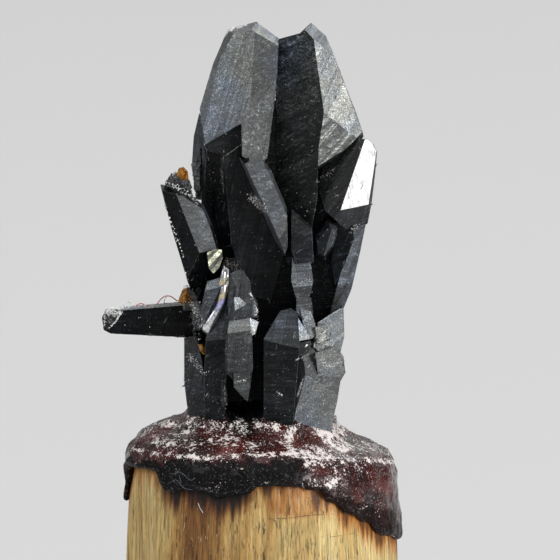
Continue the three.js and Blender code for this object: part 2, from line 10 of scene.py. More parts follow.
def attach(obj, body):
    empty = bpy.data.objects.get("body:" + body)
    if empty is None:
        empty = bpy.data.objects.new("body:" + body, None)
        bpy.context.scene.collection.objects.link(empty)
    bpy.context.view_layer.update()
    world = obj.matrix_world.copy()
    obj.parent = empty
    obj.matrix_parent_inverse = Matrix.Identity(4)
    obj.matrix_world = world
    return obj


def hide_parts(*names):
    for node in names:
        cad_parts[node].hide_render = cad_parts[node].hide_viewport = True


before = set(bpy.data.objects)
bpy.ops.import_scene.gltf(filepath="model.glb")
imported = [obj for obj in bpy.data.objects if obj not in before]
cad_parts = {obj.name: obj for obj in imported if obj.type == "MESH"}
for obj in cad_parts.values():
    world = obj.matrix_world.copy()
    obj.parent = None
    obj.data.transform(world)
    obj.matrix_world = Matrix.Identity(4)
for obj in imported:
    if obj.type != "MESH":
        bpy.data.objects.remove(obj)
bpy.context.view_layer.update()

mm = 0.001
um = 0.000001

# How the photograph was taken: a pixel is a place seen past the middle of the peg
photo = {"lookDown": 7, "distance": 104, "pixelsPerMm": 90, "pegMiddle": 262, "pegFoot": 652, "side": 560}

lookDown = math.radians(photo["lookDown"])
toRight = Vector((1, 0, 0))
sight = Vector((0, math.cos(lookDown), -math.sin(lookDown)))
pictureUp = Vector((0, math.sin(lookDown), math.cos(lookDown)))


def seenAt(px, py):
    across = (px - photo["pegMiddle"]) / photo["pixelsPerMm"]
    up = (photo["pegFoot"] - py) / photo["pixelsPerMm"]
    return (toRight * across + pictureUp * up) * mm


pictureCentre = seenAt(photo["side"] / 2, photo["side"] / 2)
cameraPlace = pictureCentre - sight * photo["distance"] * mm


def rayTo(px, py):
    return (seenAt(px, py) - cameraPlace).normalized()


# Camera, soft lights and pale floor

studio = {
    "sensor": 36,
    "clip": (0.001, 4),
    "floorRadius": 1.4,
    "floorSides": 64,
    "floorColour": (0.62, 0.62, 0.61, 1),
    "floorRoughness": 0.7,
    "roomColour": (0.80, 0.82, 0.85, 1),
    "roomStrength": 0.30,
    # azimuth from the front to the right, elevation, distance, width, height, radiance
    "boxes": {"rightBox": (50, 15, 0.40, 0.15, 0.22, 13.0), "leftBox": (-62, 34, 0.45, 0.16, 0.20, 8.0),
              "topBox": (10, 78, 0.55, 0.55, 0.55, 1.5), "backBox": (160, 40, 0.50, 0.35, 0.30, 1.6)},
}


def addLight(name, azimuth, elevation, distance, width, height, radiance):
    a, e = math.radians(azimuth), math.radians(elevation)
    away = Vector((math.sin(a) * math.cos(e), -math.cos(a) * math.cos(e), math.sin(e)))
    light = bpy.data.lights.new(name, "AREA")
    light.shape = "RECTANGLE"
    light.size, light.size_y = width, height
    light.energy = radiance * math.pi * width * height
    lamp = bpy.data.objects.new(name, light)
    lamp.location = pictureCentre + away * distance
    lamp.rotation_euler = away.to_track_quat("Z", "Y").to_euler()
    bpy.context.scene.collection.objects.link(lamp)


def buildStudio():
    camera = bpy.data.cameras.new("camera")
    camera.sensor_width = studio["sensor"]
    camera.lens = studio["sensor"] * photo["distance"] * photo["pixelsPerMm"] / photo["side"]
    camera.clip_start, camera.clip_end = studio["clip"]
    shooter = bpy.data.objects.new("camera", camera)
    shooter.location = cameraPlace
    shooter.rotation_euler = (-sight).to_track_quat("Z", "Y").to_euler()
    bpy.context.scene.collection.objects.link(shooter)
    bpy.context.scene.camera = shooter
    for name, box in studio["boxes"].items():
        addLight(name, *box)
    world = bpy.data.worlds.new("room")
    bpy.context.scene.world = world
    world.use_nodes = True
    room = world.node_tree.nodes["Background"]
    room.inputs["Color"].default_value = studio["roomColour"]
    room.inputs["Strength"].default_value = studio["roomStrength"]
    bpy.context.scene.view_settings.view_transform = "Standard"
    bm = bmesh.new()
    bmesh.ops.create_circle(bm, cap_ends=True, radius=studio["floorRadius"],
                             segments=studio["floorSides"])
    floor = newPiece("floor", bm)
    pale = newMaterial("paleFloor", {"Base Color": studio["floorColour"],
                                      "Roughness": studio["floorRoughness"]})
    floor.data.materials.append(pale)
    print("studio ready")


# Meshes and materials

def newPiece(name, bm, smooth=False):
    mesh = bpy.data.meshes.new(name)
    bm.to_mesh(mesh)
    bm.free()
    mesh.polygons.foreach_set("use_smooth", [smooth] * len(mesh.polygons))
    piece = bpy.data.objects.new(name, mesh)
    bpy.context.scene.collection.objects.link(piece)
    return piece


def finishPiece(piece, materials, slot, *nodes):
    for material in materials:
        piece.data.materials.append(material)
    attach(piece, "root")
    if nodes:
        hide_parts(*nodes)
    print(piece.name, "ready,", len(piece.data.polygons), "faces")


def addNode(material, kind, sockets=None, **settings):
    made = material.node_tree.nodes.new(kind)
    for name, value in settings.items():
        setattr(made, name, value)
    for socket, value in (sockets or {}).items():
        if isinstance(value, bpy.types.NodeSocket):
            material.node_tree.links.new(value, made.inputs[socket])
        else:
            made.inputs[socket].default_value = value
    return made


def newMaterial(name, sockets):
    material = bpy.data.materials.new(name)
    material.use_nodes = True
    shader = material.node_tree.nodes["Principled BSDF"]
    for socket, value in sockets.items():
        shader.inputs[socket].default_value = value
    return material


def wire(material, **links):
    shader = material.node_tree.nodes["Principled BSDF"]
    for socket, source in links.items():
        material.node_tree.links.new(source, shader.inputs[socket.replace("_", " ")])


def places(material, stretch=(1, 1, 1), turn=(0, 0, 0)):  # object coordinates in millimetres
    coordinate = addNode(material, "ShaderNodeTexCoord")
    scale = [one / mm for one in stretch]
    mapping = {"Vector": coordinate.outputs["Object"], "Scale": scale, "Rotation": turn}
    return addNode(material, "ShaderNodeMapping", mapping).outputs[0]


def cloudy(material, perMm, detail=3, rough=0.6, **where):
    sockets = {"Vector": places(material, **where), "Scale": perMm, "Detail": detail, "Roughness": rough}
    return addNode(material, "ShaderNodeTexNoise", sockets).outputs[0]


def attribute(material, name):
    return addNode(material, "ShaderNodeAttribute", attribute_name=name).outputs["Fac"]


def ramp(material, factor, *stops):
    made = addNode(material, "ShaderNodeValToRGB", {"Fac": factor})
    elements = made.color_ramp.elements
    while len(elements) < len(stops):
        elements.new(0.5)
    for element, (position, colour) in zip(elements, stops):
        element.position = position
        element.color = (*colour, 1) if isinstance(colour, tuple) else (colour, colour, colour, 1)
    return made.outputs[0]


def blend(material, factor, first, second, how="MIX"):
    made = addNode(material, "ShaderNodeMix", data_type="RGBA", blend_type=how)
    for place, value in ((0, factor), (6, first), (7, second)):
        if isinstance(value, bpy.types.NodeSocket):
            material.node_tree.links.new(value, made.inputs[place])
        elif place == 0:
            made.inputs[place].default_value = value
        else:
            made.inputs[place].default_value = (*value, 1)
    return made.outputs[2]


def tinted(material, first, second):
    return blend(material, 1.0, first, second, "MULTIPLY")


def maths(material, how, first, second):
    return addNode(material, "ShaderNodeMath", {0: first, 1: second}, operation=how).outputs[0]


def bump(material, height, strength, depth):
    sockets = {"Height": height, "Strength": strength, "Distance": depth}
    return addNode(material, "ShaderNodeBump", sockets).outputs[0]


def outwardAt(angle):  # degrees round the peg from the front to the right
    return Vector((math.sin(math.radians(angle)), -math.cos(math.radians(angle)), 0))


def smoothShare(low, high, value):
    share = min(1, max(0, (value - low) / (high - low)))
    return share * share * (3 - 2 * share)


def shareWithin(span, value):  # rises between the first two values and falls between the last two
    left, fromLeft, fromRight, right = span
    return smoothShare(left, fromLeft, value) * (1 - smoothShare(fromRight, right, value))


def unevenAt(place, layers):  # noise in layers, each so many lumps to a millimetre and so large
    return sum(noise.noise(place * perMm) * size for perMm, size in layers)


# Crystals: each face of the group has a finish and a tone, found at the pixels where the photograph shows it;
# the tone is partly dust and partly painted light, how brightly the face mirrors the lamps

crystalFaces = {
    "seed": 7,
    "weld": 1.5,           # micrometres
    "flat": 0.6,           # degrees
    "sameWithin": (3, 0.5),    # micrometres and degrees between two polygons of one face
    "sharpFrom": 24,       # degrees
    "edgeBevel": 4.5,       # micrometres
    "edgeRoom": 16,
    "smallest": 0.004,     # square millimetres, no growth lines below this
    "lineGap": 2.0,        # micrometres, the groove between two growth lines
    "lineShares": (0.35, 0.5, 0.7, 1, 1.6, 2.4),    # widths of growth lines, of their spacing
    "sameCut": 0.2,        # micrometres
    # tone (partly dust, partly painted light: how brightly the face mirrors the lamps), roughness, metallic,
    # specular, growth lines: slant, spacing, height, tilt (degrees, micrometres) and how much their tone
    # changes
    "finishes": {
        "mirror": (0.95, 0.05, 1.0, 0.5, (-78, 160, 0.8, 0.2, 0)),
        "bright": (0.88, 0.40, 0.25, 0.5, (62, 36, 2.4, 2.0, 0.05)),
        "light": (0.74, 0.40, 0.1, 0.5, (30, 34, 2.6, 2.6, 0.05)),
        "striped": (0.86, 0.34, 0.1, 0.5, (58, 70, 3.0, 3.0, 0.24)),
        "hatched": (0.74, 0.36, 0.1, 0.5, (48, 26, 3.2, 4.0, 0.15)),
        "banded": (0.60, 0.36, 0.1, 0.45, (6, 52, 3.6, 4.0, 0.14)),
        "mid": (0.56, 0.42, 0.0, 0.4, (34, 36, 2.6, 2.4, 0.05)),
        "dim": (0.42, 0.40, 0.0, 0.25, (80, 34, 2.8, 2.8, 0.07)),
        "dark": (0.22, 0.32, 0.0, 0.13, (28, 28, 3.2, 3.4, 0.09)),
        "black": (0.05, 0.28, 0.0, 0.08, (82, 44, 2.6, 2.4, 0.06)),
    },
    "mottling": {"pale": (0.78, 1.22), "dark": (0.45, 1.8)},
    "hatching": (math.radians(28), math.radians(-62)),
    "toneColours": ((0, (0.0022, 0.0026, 0.003)), (0.2, (0.0056, 0.0064, 0.0074)),
                    (0.4, (0.016, 0.018, 0.020)), (0.6, (0.044, 0.048, 0.052)),
                    (0.8, (0.130, 0.140, 0.147)), (1, (0.52, 0.54, 0.55))),
    "tints": ((1.08, 1.04, 0.93), (0.90, 0.98, 1.13)),    # warm and cool
    "stripes": {"turn": math.radians(-45), "scale": 3.5,
                "dark": (0.16, 0.16, 0.10), "pale": (1.35, 1.32, 0.92)},
    "silver": ((0.30, (0.062, 0.063, 0.063)), (0.42, (0.088, 0.089, 0.088)), (0.6, (0.108, 0.107, 0.104))),
    # how far a face's tone strays at random, and the pale tones of the edge bevels, a painted highlight
    "toneSteps": {"face": 0.04, "edge": (0.5, 0.97)},
    "shown": {
        "mirror": ((361, 178),),
        "bright": ((335, 92), (318, 36), (265, 33), (253, 326), (320, 333), (302, 332), (238, 303)),
        "striped": ((214, 259),),
        "hatched": ((332, 139),),
        "light": ((330, 363), (239, 325), (308, 322), (332, 331), (149, 306),
                  (231, 86), (216, 283), (208, 94), (242, 28), (315, 406)),
        "banded": ((304, 304), (302, 291), (301, 274), (242, 383), (341, 296), (300, 379), (352, 257)),
        "mid": ((258, 126), (263, 68), (197, 225), (275, 211), (317, 371), (260, 178),
                (208, 302), (196, 314), (262, 206), (278, 191),
                (196, 175), (222, 47)),
        "dim": ((240, 352), (285, 329), (353, 216), (199, 155), (220, 325), (244, 301), (194, 383),
                (231, 298), (189, 298), (240, 277), (284, 241), (212, 196), (226, 352)),
        "dark": ((109, 318), (179, 184), (298, 127), (250, 229), (279, 385), (338, 177), (214, 383),
                 (226, 141), (302, 248), (323, 242), (341, 249), (224, 393), (322, 228), (299, 227)),
        "black": ((216, 167), (220, 206), (157, 315), (155, 329), (181, 232), (199, 273), (270, 304),
                  (230, 265)),
    },
    "others": {"mid": 3, "dim": 4, "dark": 4, "light": 1, "banded": 1, "black": 1},
    "otherSlants": (86, 80, 28, -28, 60),
    "slants": {(298, 127): 27, (231, 86): 74, (258, 126): 78, (335, 92): 64, (332, 139): 48,
               (197, 225): 52, (338, 177): 50, (315, 406): 40, (279, 385): 2, (250, 229): 76,
               (352, 257): 70, (300, 379): 80, (341, 296): 60},
    # how much paler a face is at its upper end, and from which pixel to which
    "fades": {(298, 127): (0.34, 40, 170), (258, 126): (0.06, 60, 190), (338, 177): (0.12, 150, 200)},
}


def sameFace(face, other):
    away, turned = crystalFaces["sameWithin"]
    near = abs(face["offset"] - other["offset"]) < away * um
    return near and face["normal"].angle(other["normal"]) < math.radians(turned)


def findFaces(bm):  # the flat faces of the group, each with the polygons that lie in it
    found = []
    number = bm.faces.layers.int.new("crystalFace")
    for polygon in bm.faces:
        one = {"normal": polygon.normal.copy(), "offset": polygon.normal.dot(polygon.verts[0].co)}
        match = next((i for i, other in enumerate(found) if sameFace(one, other)), None)
        if match is None:
            found.append(one)
            match = len(found) - 1
        polygon[number] = match
    return found


def giveFinishes(bm, found, rng):
    spec = crystalFaces
    number = bm.faces.layers.int["crystalFace"]
    tree = BVHTree.FromBMesh(bm)
    bm.faces.ensure_lookup_table()
    kinds, weights = list(spec["others"]), list(spec["others"].values())
    for face in found:
        face["finish"] = rng.choices(kinds, weights)[0]
        face["slant"] = rng.choice(spec["otherSlants"])
    for finish, pixels in spec["shown"].items():
        for pixel in pixels:
            index = tree.ray_cast(cameraPlace, rayTo(*pixel))[2]
            face = found[bm.faces[index][number]]
            face["finish"] = finish
            face["slant"] = spec["slants"].get(pixel, spec["finishes"][finish][4][0])
            face["fade"] = spec["fades"].get(pixel)


def bevelEdgesWithPaintedHighlight(bm, tone, rng):  # narrow bevelled facets along the long sharp edges, painted pale as highlights
    spec = crystalFaces
    room = spec["edgeRoom"] * um
    crowded = {v for e in bm.edges if e.calc_length() < room for v in e.verts}
    bevelled = []
    for edge in bm.edges:
        free = not any(v in crowded for v in edge.verts)
        if free and edge.calc_face_angle_signed(0) > math.radians(spec["sharpFrom"]):
            bevelled.append(edge)
    made = bmesh.ops.bevel(bm, geom=bevelled, offset=spec["edgeBevel"] * um, offset_type="OFFSET",
                           affect="EDGES", segments=1, profile=0.5, clamp_overlap=True, material=-1)
    for face in made["faces"]:
        face[tone] = rng.uniform(*spec["toneSteps"]["edge"])
    return set(made["faces"])


def directionOn(normal, slant):  # the way a line of that slant in the picture runs on a face
    line = toRight * math.cos(math.radians(slant)) + pictureUp * math.sin(math.radians(slant))
    facing = sight.dot(normal)
    if abs(facing) < 0.2:
        line = Vector((0, 0, 1)) + toRight * math.cos(math.radians(slant)) * 0.3
        return (line - normal * line.dot(normal)).normalized()
    return (line - sight * (line.dot(normal) / facing)).normalized()


def cutLines(bm, polygons, face, rng):  # cuts a face into bands along its growth lines
    spec = crystalFaces
    spacing, height, tilt = spec["finishes"][face["finish"]][4][1:4]
    across = face["normal"].cross(directionOn(face["normal"], face["slant"]))
    reach = [v.co.dot(across) for polygon in polygons for v in polygon.verts]
    bands, stops = list(polygons), [min(reach)]
    while stops[-1] < max(reach):
        stops.append(stops[-1] + spacing * um * rng.choice(spec["lineShares"]))
    for stop in stops[1:-1]:
        whole = set(bands)
        whole.update(e for polygon in bands for e in polygon.edges)
        whole.update(v for polygon in bands for v in polygon.verts)
        cut = bmesh.ops.bisect_plane(bm, geom=list(whole), dist=spec["sameCut"] * um,
                                     plane_co=across * stop, plane_no=across)
        bands = [part for part in cut["geom"] if isinstance(part, bmesh.types.BMFace)]
    rises = [(rng.uniform(0.2, 1) * height * um, math.tan(math.radians(rng.uniform(-tilt, tilt))))
             for _ in stops]
    lifted = []
    for band in bands:
        middle = band.calc_center_median().dot(across)
        step = sum(1 for stop in stops if stop < middle) - 1
        centre = (stops[step] + stops[step + 1]) / 2 if step + 1 < len(stops) else middle
        lifted.append((band, across, centre, *rises[step], face["finish"], face.get("fade")))
    return lifted


def crystalMaterial(finish):
    spec = crystalFaces
    roughness, metallic, specular = spec["finishes"][finish][1:4]
    material = newMaterial(finish + "CrystalFace", {"IOR": 1.6, "Specular IOR Level": specular,
                                                    "Metallic": metallic})
    if finish == "mirror":
        streaks = cloudy(material, 14, detail=5, rough=0.75, stretch=(1, 1, 0.5))
        wire(material, Base_Color=ramp(material, streaks, *spec["silver"]),
             Roughness=ramp(material, streaks, (0.3, 0.3), (0.6, roughness)),
             Normal=bump(material, streaks, 0.4, 3 * um))
        return material
    grains = cloudy(material, 70, detail=2, rough=0.8)
    mottle = cloudy(material, 4.0, detail=6, rough=0.72)
    tint = cloudy(material, 1.3, detail=2)
    hatched = [cloudy(material, 34, detail=3, rough=0.7, stretch=(0.06, 1, 1), turn=(0, turn, 0))
               for turn in spec["hatching"]]
    if finish == "striped":
        look = spec["stripes"]
        waves = {"Vector": places(material, turn=(0, look["turn"], 0)), "Scale": look["scale"],
                 "Distortion": 0.8, "Detail": 1.0}
        stripes = addNode(material, "ShaderNodeTexWave", waves).outputs["Fac"]
        hue = ramp(material, stripes, (0.38, look["dark"]), (0.52, look["pale"]))
    else:
        hue = blend(material, ramp(material, tint, (0.42, 0), (0.62, 1)), *spec["tints"])
    base = tinted(material, ramp(material, attribute(material, "tone"), *spec["toneColours"]), hue)
    low, high = spec["mottling"]["pale" if finish in ("bright", "light") else "dark"]
    mottled = tinted(material, base, ramp(material, mottle, (0.34, low), (0.5, 1.0), (0.66, high)))
    lines = blend(material, ramp(material, tint, (0.46, 0), (0.54, 1)), *hatched)
    scratches = ramp(material, lines, (0.38, low), (0.52, 0.96), (0.60, 1.0 + 0.6 * (high - 1)),
                     (0.70, high * 1.8))
    dust = ramp(material, grains, (0.36, 0.36), (0.50, 0.95), (0.58, 1.35), (0.68, 3.0))
    wire(material, Base_Color=tinted(material, tinted(material, mottled, scratches), dust),
         Roughness=ramp(material, mottle, (0.3, roughness * 0.75), (0.7, roughness * 1.3)),
         Normal=bump(material, grains, 0.9, (3 + 9 * roughness) * um))
    return material


def buildCrystals():
    spec = crystalFaces
    rng = random.Random(spec["seed"])
    bm = bmesh.new()
    bm.from_mesh(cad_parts["pyrargyrite_crystals"].data)
    bmesh.ops.remove_doubles(bm, verts=bm.verts, dist=spec["weld"] * um)
    bmesh.ops.dissolve_limit(bm, angle_limit=math.radians(spec["flat"]), verts=bm.verts, edges=bm.edges,
                             use_dissolve_boundaries=False)
    toneLayer = bm.faces.layers.float.new("tone")
    found = findFaces(bm)
    giveFinishes(bm, found, rng)
    number = bm.faces.layers.int["crystalFace"]
    for polygon in bm.faces:
        face = found[polygon[number]]
        face.setdefault("shift", rng.uniform(-1, 1) * spec["toneSteps"]["face"])
        # the tone goes into the colour: partly dust, partly painted light and shade
        polygon[toneLayer] = spec["finishes"][face["finish"]][0] + face["shift"]
        polygon.material_index = list(spec["finishes"]).index(face["finish"])
    bevelled = bevelEdgesWithPaintedHighlight(bm, toneLayer, rng)
    groups = {}
    for polygon in bm.faces:
        if polygon not in bevelled:
            groups.setdefault(polygon[number], []).append(polygon)
    lifted = []
    for index, polygons in groups.items():
        if sum(polygon.calc_area() for polygon in polygons) > spec["smallest"] * mm * mm:
            lifted += cutLines(bm, polygons, found[index], rng)
    for band, *rest, finish, fade in lifted:
        band[toneLayer] += rng.uniform(-1, 1) * spec["finishes"][finish][4][4]
        if fade:
            paler, top, bottom = fade
            down = pixelOf(band.calc_center_median())[1]
            band[toneLayer] += paler * (1 - smoothShare(top, bottom, down))
    bands = [one[0] for one in lifted]
    bmesh.ops.inset_individual(bm, faces=bands, thickness=spec["lineGap"] * um, use_even_offset=True)
    for band, across, centre, rise, tilt, *rest in lifted:
        for corner in band.verts:
            corner.co += band.normal * (rise + tilt * (corner.co.dot(across) - centre))
    piece = newPiece("pyrargyriteCrystals", bm)
    finishPiece(piece, [crystalMaterial(finish) for finish in spec["finishes"]], "pyrargyrite",
                "pyrargyrite_crystals")
    return piece


# Shared by the cement and the peg: where the cement's skirt ends, round the peg

skirt = {
    "radius": 1.5,
    # degrees from the front to the right, height in millimetres
    "edge": ((-90, 1.76), (-74, 2.18), (-52, 2.22), (-45, 2.0), (-30, 2.0), (-18, 1.95), (-7, 1.97),
             (1, 2.16), (8, 2.12), (16, 2.07), (25, 2.02), (31, 1.86), (39, 1.72), (48, 1.61),
             (60, 1.47), (78, 1.34), (90, 1.28), (110, 1.35), (140, 1.6), (170, 1.8), (200, 1.66),
             (230, 1.85), (250, 1.75), (270, 1.72)),
    "ragged": ((5, 0.035), (17, 0.018)),  # per millimetre round the peg, millimetres
}


def angleOf(place):
    return math.degrees(math.atan2(place.x, -place.y))


def skirtHeight(angle):
    turned = angle if angle > -90 else angle + 360
    ahead = max(1, next(i for i, (at, _) in enumerate(skirt["edge"]) if at >= turned))
    (before, low), (after, high) = skirt["edge"][ahead - 1], skirt["edge"][ahead]
    ragged = unevenAt(outwardAt(angle) * skirt["radius"], skirt["ragged"])
    return low + (high - low) * smoothShare(before, after, turned) + ragged


def spinProfile(profile, steps):  # a round body; each vertex keeps its place along the profile
    bm = bmesh.new()
    along = bm.verts.layers.float.new("along")
    points = []
    for share, (radius, height) in profile:
        points.append(bm.verts.new((0, -radius * mm, height * mm)))
        points[-1][along] = share
    lines = [bm.edges.new(pair) for pair in zip(points, points[1:])]
    bmesh.ops.spin(bm, geom=points + lines, cent=(0, 0, 0), axis=(0, 0, 1), angle=math.tau,
                   steps=steps, use_merge=True)
    bmesh.ops.remove_doubles(bm, verts=bm.verts, dist=0.5 * um)
    bmesh.ops.recalc_face_normals(bm, faces=bm.faces)
    return bm, along


# Cement: a wet-looking dark resin dome with a skirt that ran down the wood

cement = {
    "steps": 400,
    "rings": {"dome": 60, "skirt": 34, "lip": 6},
    "domeLeft": ((0, 2.8), (0.65, 2.7), (0.88, 2.64), (1.05, 2.6), (1.21, 2.54), (1.36, 2.44),
                 (1.46, 2.33), (1.5, 2.24)),
    "domeRight": ((0, 2.8), (0.68, 2.63), (0.9, 2.49), (1.08, 2.39), (1.25, 2.32), (1.4, 2.25),
                  (1.48, 2.14), (1.51, 2.02)),
    "skirtRadius": 1.53,
    "leastSkirt": 0.02,
    "lipRadius": 0.03,
    "inner": (1.36, 1.45, 2.0),    # radius, lower and upper end of the part round the peg
    "lumps": ((1.7, 32), (4.3, 24), (10, 11), (23, 6)),  # per millimetre, micrometres
    "meniscus": (85, 55),                             # micrometres up, and reach
    "bead": (14, 1 / 9),                              # at the lower edge, reach as a share of the skirt
    # pixel, radius and depth in micrometres
    "pits": ((302, 437, 62, 45), (320, 475, 30, 26), (250, 429, 42, 34), (346, 436, 26, 16),
             (333, 470, 24, 14), (306, 480, 22, 12)),
    "bubbles": ((254, 444, 26, 20), (318, 505, 40, 14), (333, 518, 34, 16), (378, 495, 30, 22),
                (357, 487, 18, 14), (352, 477, 16, 12), (361, 516, 18, 14), (370, 507, 14, 12),
                (336, 455, 22, 12), (310, 462, 18, 10), (232, 447, 20, 14), (200, 440, 26, 14)),
    # pixels along each white patch, its half width in pixels, how white; partly white crust and partly painted
    # highlight, such as the lamp's reflection on the right of the dome
    "frostAndHighlight": ((((163, 424), (176, 424)), 4, 0.9), (((189, 430), (194, 418), (202, 414)), 6, 0.9),
              (((212, 426), (240, 423), (244, 432)), 5, 0.9), (((258, 424), (276, 428)), 6, 0.8),
              (((156, 441), (172, 445)), 6, 0.9), (((288, 414), (292, 428), (287, 442)), 6, 1),
              (((298, 418), (322, 418), (340, 430)), 8, 1), (((316, 430), (344, 446)), 7, 1),
              (((290, 450), (322, 452), (344, 450)), 5, 0.9), (((308, 464), (328, 462), (340, 472)), 5, 0.75),
              (((310, 482), (330, 486), (342, 478)), 5, 0.7), (((134, 449), (170, 456), (210, 458)), 3, 0.8),
              (((210, 458), (246, 455), (283, 454)), 3, 0.65), (((283, 454), (340, 459), (392, 461)), 3.5, 0.8),
              (((346, 462), (362, 467)), 6, 0.6), (((205, 440), (236, 438)), 8, 0.45),
              (((142, 434), (156, 425)), 5, 0.6), (((228, 446), (262, 446)), 7, 0.45),
              (((366, 444), (388, 452)), 5, 0.6), (((176, 436), (190, 446)), 8, 0.4),
              (((200, 424), (215, 436)), 6, 0.45), (((350, 440), (362, 450)), 7, 0.5)),
    "frostBehind": 0.3,
    # the sooty zone: pixels over which it sets in or ends; and distances from the middle in millimetres within
    # which painted shade darkens the dome between the crystals
    "sootLeft": (124, 140),
    "sootRight": (286, 320),
    "sootTop": (456, 465),
    "paintedShadeInside": (1.0, 0.6),
    "sootEdge": (1.4, 1.75, 0.8),      # where on the skirt it sets in, and how dark it is there
    "sootRagged": ((7, 14), (19, 9)),  # per millimetre, pixels
    "sootyAndShadedFrom": 0.4,
    "thinFrom": 1.35,
    "finishes": {"darkResin": 0.26, "sootyResin": 0.06},    # how much each mirrors
    "colours": ((0.36, (0.005, 0.0012, 0.001)), (0.5, (0.030, 0.0035, 0.0025)),
                (0.63, (0.072, 0.007, 0.0045)), (0.76, (0.15, 0.018, 0.010))),
    "thinColour": (0.034, 0.0065, 0.003),
    "sootAndShadeColour": (0.0035, 0.0035, 0.004),
    "frostAndHighlightColour": (0.70, 0.63, 0.60),
    "speckAndSparkleColours": {"darkResin": (0.42, 0.31, 0.28), "sootyResin": (0.10, 0.088, 0.084)},
}


def domePlace(angle, share):
    left, right = cement["domeLeft"], cement["domeRight"]
    step = min(share * (len(left) - 1), len(left) - 1.0001)
    first, part = int(step), step - int(step)
    toRightShare = (1 + math.sin(math.radians(angle))) / 2
    above, below = (Vector(left[i]).lerp(Vector(right[i]), toRightShare) for i in (first, first + 1))
    return above.lerp(below, part)


def cementPlace(angle, along):  # 0 to 1 on the dome, to 2 down the skirt, to 3 round the lip
    if along <= 1:
        return domePlace(angle, along)
    shoulder = domePlace(angle, 1)
    lip, radius = cement["lipRadius"], cement["skirtRadius"]
    low = min(skirtHeight(angle) + lip, shoulder.y - cement["leastSkirt"])
    if along <= 2:
        return shoulder.lerp(Vector((radius, low)), along - 1)
    if along > 3:  # in under the lip
        return Vector((cement["inner"][0], low))
    turn = (along - 2) * math.pi
    return Vector((radius - lip + lip * math.cos(turn), low - lip * math.sin(turn)))


def newCementSkin():
    rings = cement["rings"]
    shares = [i / rings["dome"] for i in range(rings["dome"])]
    shares += [1 + i / rings["skirt"] for i in range(rings["skirt"])]
    shares += [2 + i / rings["lip"] for i in range(rings["lip"] + 1)]
    profile = [(share, cementPlace(0, share)) for share in shares + [3.2]]
    inner, low, high = cement["inner"]
    profile += [(4, (inner, low)), (4, (inner, high)), (4, (0, high))]
    bm, along = spinProfile(profile, cement["steps"])
    layers = {name: bm.verts.layers.float.new(name) for name in ("frostAndHighlight", "sootAndShade", "thin")}
    skin = [v for v in bm.verts if v[along] < 3.5]
    for v in skin:
        angle = angleOf(v.co)
        radius, height = cementPlace(angle, v[along])
        v.co = (outwardAt(angle) * radius + Vector((0, 0, height))) * mm
    bmesh.ops.smooth_vert(bm, verts=[v for v in skin if v[along] < 1.95], factor=0.5,
                          use_axis_x=True, use_axis_y=True, use_axis_z=True)
    bm.normal_update()
    return bm, along, layers, skin


def buildCement(crystals):
    bm, along, layers, skin = newCementSkin()
    tree, skinTree = treeOf(crystals), BVHTree.FromBMesh(bm)
    rise, reach = cement["meniscus"]
    bead, beadReach = cement["bead"]
    spots = []
    for sign, kind in ((-1, "pits"), (1, "bubbles")):
        for px, py, radius, depth in cement[kind]:
            spots.append((skinTree.ray_cast(cameraPlace, rayTo(px, py))[0], radius * um, sign * depth * um))
    moves = []
    for v in skin:
        away = unevenAt(v.co / mm, cement["lumps"])
        near = tree.find_nearest(v.co, 3 * reach * um)[3]
        if near is not None and v[along] < 1:
            away += rise * math.exp(-near / (reach * um))
        away += bead * math.exp(-(max(0, 2 - v[along]) / beadReach) ** 2)
        move = v.normal * away * um
        for place, radius, depth in spots:
            share = (v.co - place).length / radius
            if share < 1.6:
                rim = 0.25 * math.exp(-((share - 1.15) / 0.2) ** 2) * abs(depth)
                move += v.normal * (depth * max(0, 1 - share * share) + rim)
        moves.append(move)
    low, high, dark = cement["sootEdge"]
    for v, move in zip(skin, moves):
        v.co += move
        px, py = pixelOf(v.co)
        front = v.normal.dot(sight) < 0.1
        behind = cement["frostBehind"] if v[along] < 1.2 else 0
        v[layers["frostAndHighlight"]] = frostAndHighlightAt(px, py) if front and v[along] < 1.6 else behind
        ragged = unevenAt(v.co / mm, cement["sootRagged"])
        within = smoothShare(*cement["sootLeft"], px + ragged)
        within *= 1 - smoothShare(*cement["sootRight"], px - ragged)
        below = within * smoothShare(*cement["sootTop"], py + ragged / 2) if front else 0
        alongEdge = dark * smoothShare(low, high, v[along] + ragged / 60)
        # painted shade: the middle of the dome, between the crystals, takes the dark soot colour
        paintedShade = smoothShare(*cement["paintedShadeInside"], v.co.xy.length / mm)
        v[layers["sootAndShade"]] = max(below, alongEdge, paintedShade)
        v[layers["thin"]] = smoothShare(cement["thinFrom"], 2, v[along])
    for face in bm.faces:
        face.material_index = int(min(v[layers["sootAndShade"]] for v in face.verts) > cement["sootyAndShadedFrom"])
    piece = newPiece("cementDome", bm, smooth=True)
    finishPiece(piece, [cementMaterial(name) for name in cement["finishes"]], "cement", "cement")
    return piece


def frostAndHighlightAt(px, py):
    here, most = Vector((px, py)), 0
    for pixels, halfWidth, white in cement["frostAndHighlight"]:
        for first, second in zip(pixels, pixels[1:]):
            near, share = geometry.intersect_point_line(here, Vector(first), Vector(second))
            near = Vector(first).lerp(Vector(second), min(1, max(0, share)))
            most = max(most, white * smoothShare(-2.0 * halfWidth, 0, -(here - near).length))
    return most


def pixelOf(place):  # the pixel of the photograph that shows a place
    ray = place - cameraPlace
    ray = ray * (photo["distance"] * mm / ray.dot(sight))
    across, up = ray.dot(toRight) / mm, ray.dot(pictureUp) / mm
    middle = photo["side"] / 2
    return middle + across * photo["pixelsPerMm"], middle - up * photo["pixelsPerMm"]


